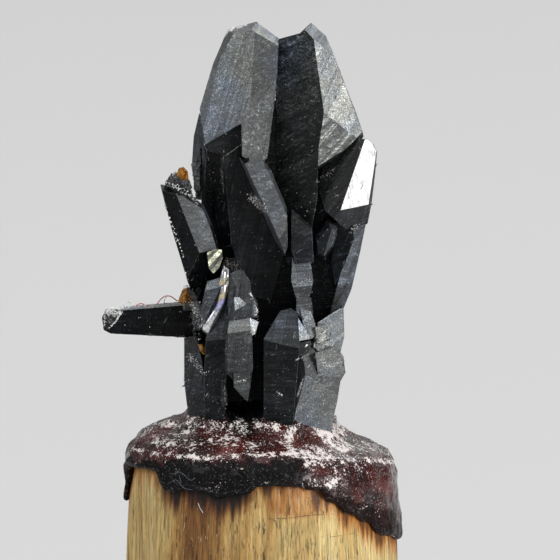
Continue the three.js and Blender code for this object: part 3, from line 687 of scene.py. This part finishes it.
def cementMaterial(name):
    specular = cement["finishes"][name]
    material = newMaterial(name, {"IOR": 1.5, "Specular IOR Level": specular, "Coat Weight": 0.8 * specular,
                                  "Coat Roughness": 0.04})
    red = ramp(material, cloudy(material, 2.6, detail=4), *cement["colours"])
    amber = blend(material, attribute(material, "thin"), red, cement["thinColour"])
    # dark where the resin is sooty, and painted shade in the dome's middle between the crystals
    sootyAndShaded = blend(material, attribute(material, "sootAndShade"), amber, cement["sootAndShadeColour"])
    grain = maths(material, "ADD", cloudy(material, 24, detail=3, rough=0.8),
                  cloudy(material, 7, detail=3, rough=0.7))
    broken = maths(material, "MULTIPLY", maths(material, "SUBTRACT", grain, 1.0), 2.4)
    # white patches: partly crust, partly painted highlight where the lamp's reflection falls
    crustAndHighlight = maths(material, "ADD", maths(material, "MULTIPLY", attribute(material, "frostAndHighlight"), 0.72), broken)
    white = ramp(material, crustAndHighlight, (0.56, 0), (0.68, 1))
    # pale specks: partly grit, partly painted sparkle
    specksAndSparkle = ramp(material, cloudy(material, 44, detail=2), (0.61, 0), (0.69, 0.75))
    speckledAndSparkled = blend(material, specksAndSparkle, sootyAndShaded, cement["speckAndSparkleColours"][name])
    wetOrWhitened = ramp(material, white, (0, 0.09), (1, 0.28))
    wire(material, Base_Color=blend(material, white, speckledAndSparkled, cement["frostAndHighlightColour"]),
         Roughness=blend(material, attribute(material, "sootAndShade"), wetOrWhitened, (0.38, 0.38, 0.38)),
         Normal=bump(material, grain, 0.7, 14 * um))
    return material


# Peg: pale wood with fine upright fibres, charred and stained under the cement

peg = {
    "steps": 560,
    "rings": 84,
    "radius": (1.51, 1.43),
    "height": 2.16,
    "shaved": (1.43, -66, 40),    # a flat side: distance from the middle, angle it faces, half its reach
    "fibres": ((14, 8), (34, 5)),  # per millimetre round the peg, micrometres
    "chamfer": 0.03,
    "charReach": (0.13, 0.16),    # millimetres below the cement, and how much more where it is deepest
    "streaks": (0.13, 0.1),       # millimetres that stain and char run up or down
    "deep": (-62, -48, -6, 12),   # degrees between which the char is deepest
    "bare": (-80, -74, -53, -47),    # degrees between which little is charred
    "film": (297, 503, 40, 17),   # pixel and radii in pixels of the amber film
    "colours": ((0.10, (0.16, 0.068, 0.017)), (0.34, (0.31, 0.172, 0.050)), (0.56, (0.47, 0.33, 0.125)),
                (0.85, (0.66, 0.53, 0.26))),
    "fleckColour": (0.80, 0.72, 0.52),
    "stainColour": (0.78, 0.35, 0.08),
    "washColour": (0.85, 0.72, 0.5),
    "charColour": (0.007, 0.004, 0.003),
    # across the front in millimetres, how pale the wood is painted: painted light and shade of the lamps on the
    # round peg
    "paintedLightAndShade": ((-1.6, 0.60), (-1.25, 0.72), (-1.05, 0.42), (-0.85, 0.12), (-0.6, 0.16), (-0.4, 0.34),
                 (0, 0.52), (0.6, 0.74), (1.2, 0.88), (1.6, 0.75)),
}


def paintedLightAndShadeAt(across):
    spots = peg["paintedLightAndShade"]
    step = next(i for i, (at, _) in enumerate(spots) if at > across)
    (before, first), (after, second) = spots[step - 1], spots[step]
    return first + (second - first) * (across - before) / (after - before)


def pegRadiusAt(angle, height):
    low, high = peg["radius"]
    distance, facing, half = peg["shaved"]
    rounded = low + (high - low) * (height / peg["height"]) ** 3
    off = math.radians(angle - facing)
    return min(rounded, distance / math.cos(off)) if abs(off) < math.radians(half) else rounded


def buildPeg():
    rings, top = peg["rings"], peg["height"]
    profile = [(0, (0, 0)), (0, (peg["radius"][0] - peg["chamfer"], 0))]
    for i in range(rings + 1):
        height = peg["chamfer"] + (top - peg["chamfer"]) * (i / rings)
        profile.append((1, (peg["radius"][0], height)))
    profile.append((0, (0, top)))
    bm, along = spinProfile(profile, peg["steps"])
    layers = {name: bm.verts.layers.float.new(name) for name in ("char", "stain", "pale", "film")}
    reach, more = peg["charReach"]
    fine, broad = peg["streaks"]
    x, y, rx, ry = peg["film"]
    for v in bm.verts:
        if v[along] < 0.5:
            continue
        angle, height = angleOf(v.co), v.co.z / mm
        turned, drift = outwardAt(angle), Vector((0, 0, height * 0.35))
        away = sum(noise.noise(turned * perMm * 1.5 + drift) * size for perMm, size in peg["fibres"])
        v.co = turned * (pegRadiusAt(angle, height) * mm + away * um) + Vector((0, 0, v.co.z))
        streak = noise.noise(turned * 30 + drift * 2) * fine + noise.noise(turned * 9) * broad
        over = height - skirtHeight(angle) + streak
        deep, bare = shareWithin(peg["deep"], angle), shareWithin(peg["bare"], angle)
        dark = (0.75 + 0.25 * deep) * (1 - 0.62 * bare)
        v[layers["char"]] = smoothShare(-reach - more * deep, 0.02, over + streak) * dark
        px, py = pixelOf(v.co)
        far = math.hypot((px - x) / rx, (py - y) / ry) + streak * 2.2
        v[layers["film"]] = smoothShare(-1.05, -0.7, -far) if v.co.y < 0 else 0
        soaked = smoothShare(-0.30, -0.02, over) * (1 - 0.35 * bare)
        v[layers["stain"]] = max(soaked, (0.62 + 3 * streak) * v[layers["film"]])
        # painted light and shade across the front of the peg
        v[layers["pale"]] = paintedLightAndShadeAt(turned.x * peg["radius"][0])
    piece = newPiece("woodenPeg", bm, smooth=True)
    finishPiece(piece, [woodMaterial()], "wood", "peg")
    return piece


def woodMaterial():
    material = newMaterial("palePegWood", {"Specular IOR Level": 0.3})
    bands = cloudy(material, 5.0, detail=4, rough=0.65, stretch=(1, 1, 0.09))
    fibres = cloudy(material, 34, detail=4, rough=0.8, stretch=(1, 1, 0.05))
    dashes = cloudy(material, 52, detail=2, rough=0.6, stretch=(1, 1, 0.10))
    flecks = cloudy(material, 60, detail=2, rough=0.6, stretch=(1, 1, 0.14))
    wash = cloudy(material, 1.6, detail=3)
    # painted light and shade, mixed into the wood's colour
    paintedLightAndShade = maths(material, "MULTIPLY", attribute(material, "pale"), 0.72)
    shade = maths(material, "ADD", paintedLightAndShade, maths(material, "SUBTRACT", bands, 0.38))
    gold = ramp(material, shade, *peg["colours"])
    lines = ramp(material, fibres, (0.36, 0.42), (0.48, 0.92), (0.56, 1.08), (0.66, 1.5))
    lined = tinted(material, gold, lines)
    dashed = tinted(material, lined, ramp(material, dashes, (0.32, 0.25), (0.40, 1.0)))
    flecked = blend(material, ramp(material, flecks, (0.66, 0), (0.74, 0.5)), dashed, peg["fleckColour"])
    amber = blend(material, attribute(material, "stain"), (1, 1, 1), peg["stainColour"])
    soaked = blend(material, ramp(material, wash, (0.4, 0), (0.7, 0.4)), (1, 1, 1), peg["washColour"])
    stained = tinted(material, tinted(material, flecked, amber), soaked)
    dry = ramp(material, fibres, (0.3, 0.75), (0.7, 0.5))
    wire(material, Base_Color=blend(material, attribute(material, "char"), stained, peg["charColour"]),
         Roughness=blend(material, attribute(material, "film"), dry, (0.16, 0.16, 0.16)),
         Normal=bump(material, fibres, 0.8, 12 * um))
    return material


# Loose bits: dust, crumbs and flakes, each kind one mesh of many small chips

loose = {
    "seed": 21,
    "shapes": 6,
    "stand": 0.15,    # how far a chip stands off, of its half length
    # how many, least and greatest half length in micrometres
    "crystalDust": (6000, (2.0, 7.0)),
    "resinGrit": (3000, (2.5, 8.0)),
    # white chips over the white patches, partly crust and partly painted highlight
    "resinFrostAndHighlightBits": (2800, (4.0, 13.0)),
    "gritFrom": (1.35, 0.5),    # millimetres above the foot, and from the middle
    "frostBehind": 0.002,
    # darkest and palest colour, roughness, other sockets
    "looks": {"whiteGrains": ((0.50, 0.50, 0.49), (0.82, 0.81, 0.78), 0.35),
              "darkGrains": ((0.010, 0.011, 0.013), (0.06, 0.062, 0.066), 0.3),
              "creamGrains": ((0.26, 0.18, 0.15), (0.62, 0.56, 0.50), 0.4),
              "amberGrains": ((0.18, 0.055, 0.008), (0.66, 0.30, 0.035), 0.15,
                              {"Transmission Weight": 0.4, "IOR": 1.55}),
              "woodGrit": ((0.05, 0.02, 0.008), (0.30, 0.15, 0.05), 0.3)},
    # pixels along a strip, spread in pixels, how many, least and greatest half length in micrometres
    # white chips: partly crumbs on the edges, partly painted glints where edges and facets shine
    "whiteCrumbsAndGlints": (
        (((220, 38), (228, 31), (236, 28), (246, 25)), 1.6, 120, (7, 22)),
        (((196, 128), (205, 92), (213, 66), (220, 44)), 1.2, 90, (3, 6)),
        (((105, 311), (112, 308), (124, 307)), 1.8, 260, (7, 20)),
        (((104.5, 314), (104.5, 326)), 0.8, 40, (4, 10)),
        (((109, 328), (116, 321), (119, 315)), 1.1, 60, (5, 11)),
        (((120, 308), (150, 304), (186, 301)), 1.4, 230, (4, 14)),
        (((107, 318), (113, 323)), 2.6, 40, (4, 10)),
        (((106, 312), (114, 314), (120, 313)), 2.4, 120, (6, 16)),
        (((166, 183), (176, 186), (190, 196), (199, 203)), 2.2, 130, (4, 14)),
        (((168, 178), (176, 174)), 2.2, 40, (4, 12)),
        (((163, 199), (168, 215), (176, 236), (184, 258)), 1.0, 60, (5, 20)),
        (((225, 156), (242, 144)), 0.5, 60, (3, 7)), (((204, 142), (209, 160)), 0.4, 26, (2, 5)),
        (((224, 150), (222, 172), (224, 196)), 0.4, 40, (2, 5)),
        (((316, 182), (334, 170)), 1.5, 44, (3, 8)), (((184, 276), (186, 284)), 2.4, 22, (7, 18)),
        (((176, 292), (180, 297)), 1.6, 12, (8, 20)),
        (((250, 196), (258, 203), (266, 212)), 4.0, 130, (4, 15)),
        (((188, 354), (198, 366), (206, 374)), 3.5, 80, (4, 12)),
        (((181, 377), (186, 384)), 3.0, 26, (4, 11)),
        (((191, 303), (197, 316), (202, 329)), 3.5, 110, (4, 10)),
        (((183, 164), (190, 168), (200, 170)), 2.6, 40, (4, 12)),
        (((250, 293), (256, 303), (257, 313)), 1.2, 80, (6, 16)),
        (((257, 314), (257, 323), (252, 332)), 1.6, 50, (4, 12)),
        (((321, 361), (333, 368)), 2.5, 60, (3, 9)),
        (((296, 360), (309, 354)), 0.7, 50, (3, 8)),
        (((234, 383), (247, 379)), 1.0, 46, (3, 8)),
        (((224.5, 380), (225, 403)), 0.4, 34, (2, 6)),
        (((352, 230), (360, 224)), 2.5, 34, (3, 9)),
        (((296, 284), (312, 280)), 1.2, 34, (3, 8)),
        (((267, 299), (270, 302)), 2.0, 10, (4, 9)),
        (((297, 397), (303, 379)), 0.9, 90, (4, 10)),
        (((224, 408), (240, 416)), 4.0, 60, (4, 12)),
        (((277, 392), (283, 396)), 1.5, 16, (5, 11))),
    "darkCrumbs": (
        (((276.5, 84), (276.5, 106)), 0.8, 44, (12, 26)),
        (((194.5, 316), (195, 338)), 1.2, 44, (12, 28)),
        (((194, 168), (196.5, 192)), 1.0, 60, (16, 38)),
        (((107, 316), (113, 322)), 2.6, 60, (8, 18)),
        (((168, 180), (180, 176), (190, 186)), 4.0, 150, (9, 26)),
        (((166, 186), (178, 178), (190, 186), (198, 198)), 3.0, 130, (9, 26)),
        (((197, 165), (200, 180), (198, 196)), 1.6, 46, (12, 30)),
        (((198, 288), (200, 301)), 1.4, 70, (16, 36)),
        (((199.5, 334), (199.5, 352)), 1.0, 46, (14, 32)), (((198, 160), (200, 178)), 1.2, 30, (14, 34)),
        (((186, 340), (188, 372), (190, 404)), 2.2, 60, (8, 22)),
        (((148, 333), (152, 335)), 1.2, 8, (10, 22)), (((176, 336), (186, 337)), 1.5, 14, (10, 20)),
        (((224, 262), (238, 268)), 4.0, 60, (7, 18)),
        (((216, 400), (232, 410), (256, 400)), 5.0, 70, (8, 20)),
        (((322, 262), (334, 306)), 4.0, 60, (6, 16))),
    "onGrains": ((46, (6, 15)), (12, (3, 7)), (16, (4, 10))),
    "tooth": ((((184.5, 287), (186, 286)), 0.8, 12, (24, 42)), (((184, 286), (187, 283)), 1.4, 30, (8, 18))),
    "woodCrumbs": (
        (((304, 500), (324, 514)), 3.5, 46, (4, 11)), (((272, 519), (276, 522)), 1.6, 12, (4, 9)),
        (((311, 543), (314, 545)), 1.6, 12, (4, 9)), (((284, 494), (290, 514)), 1.2, 40, (3, 8))),
    "amberCrumbs": (
        (((180, 288), (186, 298), (192, 301)), 3.0, 60, (6, 18)),
        (((181, 172), (190, 182)), 2.2, 36, (5, 16)),
        (((200, 345), (204, 353)), 2.0, 18, (6, 16)),
        (((222, 258), (236, 266)), 4.0, 24, (4, 10))),
}


def newChips(rng):  # irregular little solids with a half length of one
    chips = []
    for _ in range(loose["shapes"]):
        bm = bmesh.new()
        bmesh.ops.create_icosphere(bm, subdivisions=1, radius=1)
        for v in bm.verts:
            v.co *= rng.uniform(0.62, 1.0)
        mesh = bpy.data.meshes.new("chip")
        bm.to_mesh(mesh)
        bm.free()
        chips.append(mesh)
    return chips


def placeChip(bm, chips, matrix, rng):
    chip = rng.choice(chips).copy()
    chip.transform(matrix)
    bm.from_mesh(chip)
    bpy.data.meshes.remove(chip)


def addChip(bm, chips, place, normal, size, rng):
    turn = normal.to_track_quat("Z", "Y").to_matrix().to_4x4()
    spin = Matrix.Rotation(rng.uniform(0, math.tau), 4, "Z") @ Matrix.Rotation(rng.uniform(-1, 1), 4, "X")
    shape = Matrix.Diagonal((size, size * rng.uniform(0.5, 0.9), size * rng.uniform(0.35, 0.8), 1))
    stand = Matrix.Translation(place + normal * size * loose["stand"])
    placeChip(bm, chips, stand @ turn @ spin @ shape, rng)


def treeOf(piece):
    return BVHTree.FromObject(piece, bpy.context.evaluated_depsgraph_get())


def surfaceAt(tree, px, py):  # what the photograph shows at a pixel, or the nearest place beside the outline
    ray = rayTo(px, py)
    hit, normal = tree.ray_cast(cameraPlace, ray)[:2]
    if hit is not None:
        return hit, normal
    steps = [cameraPlace + ray * (photo["distance"] + i * 0.1) * mm for i in range(-16, 17)]
    nearest = min((tree.find_nearest(step) for step in steps), key=lambda found: found[3])
    return nearest[:2]


def placesOver(piece, count, rng, weight=None):  # places spread evenly over a piece
    mesh = piece.data
    mesh.calc_loop_triangles()
    triangles = list(mesh.loop_triangles)
    weights = [one.area * (weight(one.center, one.normal) if weight else 1) for one in triangles]
    found = []
    for triangle in rng.choices(triangles, weights, k=count):
        corners = [mesh.vertices[i].co for i in triangle.vertices]
        a, b = rng.random(), rng.random()
        if a + b > 1:
            a, b = 1 - a, 1 - b
        place = corners[0] + (corners[1] - corners[0]) * a + (corners[2] - corners[0]) * b
        found.append((place, triangle.normal.copy()))
    return found


def strewOver(piece, count, sizes, chips, rng, weight=None):  # chips all over a piece
    bm = bmesh.new()
    for place, normal in placesOver(piece, count, rng, weight):
        size = sizes[0] * (sizes[1] / sizes[0]) ** (rng.random() ** 2)
        addChip(bm, chips, place, normal, size * um, rng)
    return bm


def pixelAlong(pixels, spread, rng):
    step = rng.randrange(len(pixels) - 1)
    middle = Vector(pixels[step]).lerp(Vector(pixels[step + 1]), rng.random())
    return middle.x + rng.gauss(0, spread * 0.6), middle.y + rng.gauss(0, spread * 0.6)


def strewAlong(strips, tree, chips, rng):
    bm = bmesh.new()
    for pixels, spread, count, sizes in strips:
        for _ in range(count):
            place, normal = surfaceAt(tree, *pixelAlong(pixels, spread, rng))
            size = sizes[0] * (sizes[1] / sizes[0]) ** (rng.random() ** 1.6)
            addChip(bm, chips, place, normal, size * um, rng)
    return bm


def grainMaterial(name, dark, pale, roughness, others=None):
    material = newMaterial(name, {"Roughness": roughness, **(others or {})})
    wire(material, Base_Color=ramp(material, cloudy(material, 22, detail=3), (0.38, dark), (0.62, pale)))
    return material


def onUpperSkin(place, normal):
    low, inner = loose["gritFrom"]
    return 1.0 if place.z > low * mm and place.xy.length > inner * mm else 0.0


def whereFrostAndHighlight(place, normal):
    return frostAndHighlightAt(*pixelOf(place)) ** 2 if normal.dot(sight) < 0 else loose["frostBehind"]


def buildLooseBits(crystals, domed, wood):
    rng = random.Random(loose["seed"])
    chips = newChips(rng)
    onCrystals = treeOf(crystals)
    white, dark, cream, amber, brown = (grainMaterial(name, *look) for name, look in loose["looks"].items())
    for name, piece, weight, material, slot in (("crystalDust", crystals, None, white, "pyrargyrite"),
                                                ("resinGrit", domed, onUpperSkin, cream, "cement"),
                                                ("resinFrostAndHighlightBits", domed, whereFrostAndHighlight, white, "cement")):
        strewn = newPiece(name, strewOver(piece, *loose[name], chips, rng, weight))
        finishPiece(strewn, [material], slot)
    for name, tree, material, slot in (("whiteCrumbsAndGlints", onCrystals, white, "pyrargyrite"),
                                       ("darkCrumbs", onCrystals, dark, "pyrargyrite"),
                                       ("amberCrumbs", onCrystals, amber, "amber_grain"),
                                       ("woodCrumbs", treeOf(wood), brown, "wood")):
        finishPiece(newPiece(name, strewAlong(loose[name], tree, chips, rng)), [material], slot)
    for name in ("grain_on_left_crystal", "grain_at_flat_crystal", "grain_on_outer_column"):
        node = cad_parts[name]
        node.data.materials.clear()
        node.data.materials.append(amber)
        for material, (count, sizes) in zip((amber, white, dark), loose["onGrains"]):
            bits = newPiece(name + "_" + material.name, strewOver(node, count, sizes, chips, rng))
            finishPiece(bits, [material], "amber_grain")
    tree = treeOf(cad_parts["grain_at_flat_crystal"])
    finishPiece(newPiece("whiteTooth", strewAlong(loose["tooth"], tree, chips, rng)), [white], "amber_grain")


# Growth steps: thin plates and bars lying on the faces

growth = {
    "seed": 5,
    "thick": 0.07,        # of the half length
    "width": (0.06, 0.30),
    "tilt": 0.04,         # radians
    # pixels along a strip, spread, how many, half length in micrometres, slants in degrees, tones (partly
    # painted light, like the faces' tones)
    "strips": ((((304, 250), (304, 300), (300, 338)), 7, 56, (14, 60), (80, 20), (0.4, 0.95)),
               (((316, 330), (326, 370), (322, 405)), 13, 110, (14, 75), (80, 50, 20), (0.3, 0.97)),
               (((241, 290), (240, 390)), 9, 60, (12, 60), (5, 80), (0.3, 0.8)),
               (((212, 288), (204, 330)), 8, 40, (12, 55), (60, 80), (0.3, 0.8)),
               (((262, 172), (276, 214), (286, 240)), 9, 44, (14, 60), (50, 80), (0.3, 0.75)),
               (((352, 230), (342, 300)), 8, 44, (14, 60), (70, 30), (0.3, 0.8)),
               (((330, 170), (322, 235)), 8, 34, (14, 55), (50, 20), (0.2, 0.7)),
               (((322, 262), (330, 306)), 7, 40, (14, 50), (60, 20), (0.1, 0.5)),
               (((280, 330), (282, 402)), 13, 34, (14, 70), (3, 85), (0.1, 0.5)),
               (((196, 350), (200, 405)), 11, 50, (14, 60), (80, 60), (0.2, 0.7)),
               (((204, 118), (196, 172)), 6, 26, (12, 50), (80,), (0.3, 0.7)),
               (((215, 165), (235, 230)), 12, 30, (20, 90), (78,), (0.05, 0.35)),
               (((298, 60), (300, 200)), 14, 90, (16, 90), (27,), (0.08, 0.45)),
               (((232, 60), (222, 130)), 16, 30, (12, 60), (76, 30), (0.5, 0.8)),
               (((335, 90), (340, 120)), 8, 16, (12, 40), (60,), (0.6, 0.9))),
    "anywhere": (260, (14, 60), (80, 28, 60), (0.1, 0.45)),
}


def addPlate(bm, chips, place, normal, slant, size, rng):
    run = directionOn(normal, slant)
    axes = Matrix((run, normal.cross(run), normal)).transposed().to_4x4()
    shape = Matrix.Diagonal((size, size * rng.uniform(*growth["width"]), size * growth["thick"], 1))
    tilt = Matrix.Rotation(rng.uniform(-growth["tilt"], growth["tilt"]), 4, "X")
    placeChip(bm, chips, Matrix.Translation(place) @ axes @ tilt @ shape, rng)


def buildSteps(crystals):
    rng = random.Random(growth["seed"])
    chips, tree, bm = newChips(rng), treeOf(crystals), bmesh.new()
    shades = []
    for pixels, spread, count, sizes, slants, tones in growth["strips"]:
        for _ in range(count):
            ray = rayTo(*pixelAlong(pixels, spread, rng))
            place, normal = tree.ray_cast(cameraPlace, ray)[:2]
            if place is not None:
                size = rng.uniform(*sizes) * rng.uniform(0.4, 1)
                addPlate(bm, chips, place, normal, rng.choice(slants), size * um, rng)
                shades.append(rng.uniform(*tones))
    count, sizes, slants, tones = growth["anywhere"]
    for place, normal in placesOver(crystals, count, rng):
        addPlate(bm, chips, place, normal, rng.choice(slants), rng.uniform(*sizes) * um, rng)
        shades.append(rng.uniform(*tones))
    tone = bm.faces.layers.float.new("tone")
    bm.faces.ensure_lookup_table()
    perChip = len(chips[0].polygons)
    for face in bm.faces:
        face[tone] = shades[face.index // perChip]
    piece = newPiece("growthSteps", bm)
    finishPiece(piece, [bpy.data.materials["midCrystalFace"]], "pyrargyrite")


# Lint: fine fibres and hairs caught on the crystals and on the cement

lint = {
    "sides": 6,
    "smooth": 6,      # steps between two pixels
    "near": 5,        # micrometres by which a ray may miss a piece and still lie on it
    "shade": 0.6,     # the darkest part, of the colour
    "roughness": 0.45,
    # pixels, half thickness in micrometres, how far the middle stands off in micrometres, colour
    "fibres": ((((157, 304), (161.6, 298.4), (166, 296), (170.7, 296.4), (174.6, 299), (177.6, 301),
                 (183, 300)), 6.0, 40, "pink"),
               (((164, 303), (164.6, 299), (166.4, 296.8)), 4.5, 30, "white"),
               (((134, 307), (138, 304.4), (141.5, 303.6), (144, 304.4), (148, 306)), 5.5, 20, "pink"),
               (((122, 307), (125.5, 303), (128.7, 302), (131, 304), (130, 306.5)), 5.0, 25, "white"),
               (((164, 467), (172, 474), (180, 472), (190, 480), (195, 478)), 1.8, 6, "blue"),
               (((168, 484), (176, 480), (184, 488), (193, 490)), 1.6, 6, "blue"),
               (((176, 468), (181, 482), (178, 492)), 1.4, 6, "blue"),
               (((198, 503), (200, 508), (203, 513)), 4.0, 4, "white"),
               (((268, 519), (290, 518), (312, 515), (334, 514)), 2.5, 0, "brown"),
               (((321, 537), (338, 536), (354, 533)), 2.2, 0, "brown"),
               (((288, 494), (289, 504), (287, 515)), 3.0, 0, "brown")),
    "colours": {"pink": (0.62, 0.16, 0.14), "white": (0.78, 0.76, 0.72), "blue": (0.20, 0.23, 0.30),
                "brown": (0.10, 0.045, 0.015)},
}


def smoothPath(points, steps):
    curve = []
    padded = [points[0] * 2 - points[1]] + points + [points[-1] * 2 - points[-2]]
    for a, b, c, d in zip(padded, padded[1:], padded[2:], padded[3:]):
        for i in range(steps):
            t = i / steps
            curve.append(0.5 * (2 * b + (c - a) * t + (2 * a - 5 * b + 4 * c - d) * t * t
                                + (3 * b - a - 3 * c + d) * t * t * t))
    return curve + [points[-1]]


def addTube(bm, path, radius, sides):
    ring = None
    for i, place in enumerate(path):
        ahead = (path[min(i + 1, len(path) - 1)] - path[max(i - 1, 0)]).normalized()
        turn = ahead.to_track_quat("Z", "Y").to_matrix().to_4x4()
        made = bmesh.ops.create_circle(bm, cap_ends=i in (0, len(path) - 1), radius=radius, segments=sides,
                                       matrix=Matrix.Translation(place) @ turn)["verts"]
        edges = list({e for v in made for e in v.link_edges})
        if ring:
            bmesh.ops.bridge_loops(bm, edges=ring + edges)
        ring = edges


def farOnRay(trees, pixel):  # how far the camera looks before a ray meets the nearest piece
    ray = rayTo(*pixel)
    found = [surfaceAt(tree, *pixel)[0] - cameraPlace for tree in trees]
    missed = [place.cross(ray).length for place in found]
    close = [place for place, miss in zip(found, missed) if miss < min(missed) + lint["near"] * um]
    return min((place.length, place.dot(ray)) for place in close)[1]


def buildLint(*trees):
    for colour, value in lint["colours"].items():
        bm = bmesh.new()
        for pixels, thickness, standOff, kind in lint["fibres"]:
            if kind != colour:
                continue
            path = []
            for i, pixel in enumerate(pixels):
                above = thickness * 0.5 + standOff * math.sin(math.pi * i / (len(pixels) - 1))
                path.append(cameraPlace + rayTo(*pixel) * (farOnRay(trees, pixel) - above * um))
            addTube(bm, smoothPath(path, lint["smooth"]), thickness * um, lint["sides"])
        bmesh.ops.recalc_face_normals(bm, faces=bm.faces)
        piece = newPiece(colour + "Lint", bm, smooth=True)
        dark = tuple(part * lint["shade"] for part in value)
        fibre = grainMaterial(colour + "LintFibre", dark, value, lint["roughness"])
        finishPiece(piece, [fibre], "pyrargyrite")


# A tarnished curved face that shines like a strip of foil

foil = {
    "left": ((224, 279), (220, 290), (216, 304), (210, 315), (201, 328)),
    "right": ((229, 283), (226, 299), (221, 312), (215, 324), (208, 335)),
    "steps": (28, 8),
    "crown": 26,   # micrometres above the crystals
    "sunk": 8,
    "thick": 150,
    "lean": 40,    # the most that one border lies deeper
    # along the strip
    "colours": ((0.10, (0.42, 0.43, 0.45)), (0.34, (0.60, 0.60, 0.58)), (0.46, (0.72, 0.60, 0.36)),
                (0.55, (0.42, 0.40, 0.78)), (0.66, (0.55, 0.56, 0.70)), (0.9, (0.80, 0.81, 0.82))),
}


def buildFoil(tree):
    left, right = (smoothPath([Vector(one) for one in foil[side]], 8) for side in ("left", "right"))
    bm = bmesh.new()
    bmesh.ops.create_grid(bm, x_segments=foil["steps"][0], y_segments=foil["steps"][1], size=0.5,
                          calc_uvs=False)
    runs, sides = bm.verts.layers.float.new("run"), bm.verts.layers.float.new("side")
    for v in bm.verts:
        run, side = v.co.x + 0.5, v.co.y + 0.5
        at = min(int(run * (len(left) - 1) + 0.5), len(left) - 1)
        depths = [(surfaceAt(tree, *pixel)[0] - cameraPlace).length for pixel in (left[at], right[at])]
        depth = min(depths) + side * 0.5 * min(depths[1] - min(depths), foil["lean"] * um)
        bulge = math.sin(math.pi * side) * min(1, 6 * run * (1 - run) + 0.15)
        v[runs], v[sides] = run, side
        raised = (foil["crown"] * bulge - foil["sunk"]) * um
        v.co = cameraPlace + rayTo(*left[at].lerp(right[at], side)) * (depth - raised)
    bmesh.ops.solidify(bm, geom=list(bm.faces), thickness=-foil["thick"] * um)
    bmesh.ops.recalc_face_normals(bm, faces=bm.faces)
    finishPiece(newPiece("tarnishedFace", bm, smooth=True), [tarnishMaterial()], "pyrargyrite")


def tarnishMaterial():
    material = newMaterial("tarnish", {"Metallic": 1.0})
    grains = cloudy(material, 30, detail=3, rough=0.7)
    slanting = maths(material, "ADD", maths(material, "MULTIPLY", attribute(material, "run"), 0.9),
                     maths(material, "MULTIPLY", attribute(material, "side"), 0.22))
    wavy = maths(material, "ADD", slanting, maths(material, "MULTIPLY", grains, 0.16))
    dust = ramp(material, grains, (0.36, 0.45), (0.55, 1.1))
    wire(material, Base_Color=tinted(material, ramp(material, wavy, *foil["colours"]), dust),
         Roughness=ramp(material, grains, (0.3, 0.4), (0.7, 0.22)))
    return material


buildStudio()
crystals = buildCrystals()
domed = buildCement(crystals)
wood = buildPeg()
buildSteps(crystals)
buildLooseBits(crystals, domed, wood)
buildLint(treeOf(crystals), treeOf(domed), treeOf(wood))
buildFoil(treeOf(crystals))
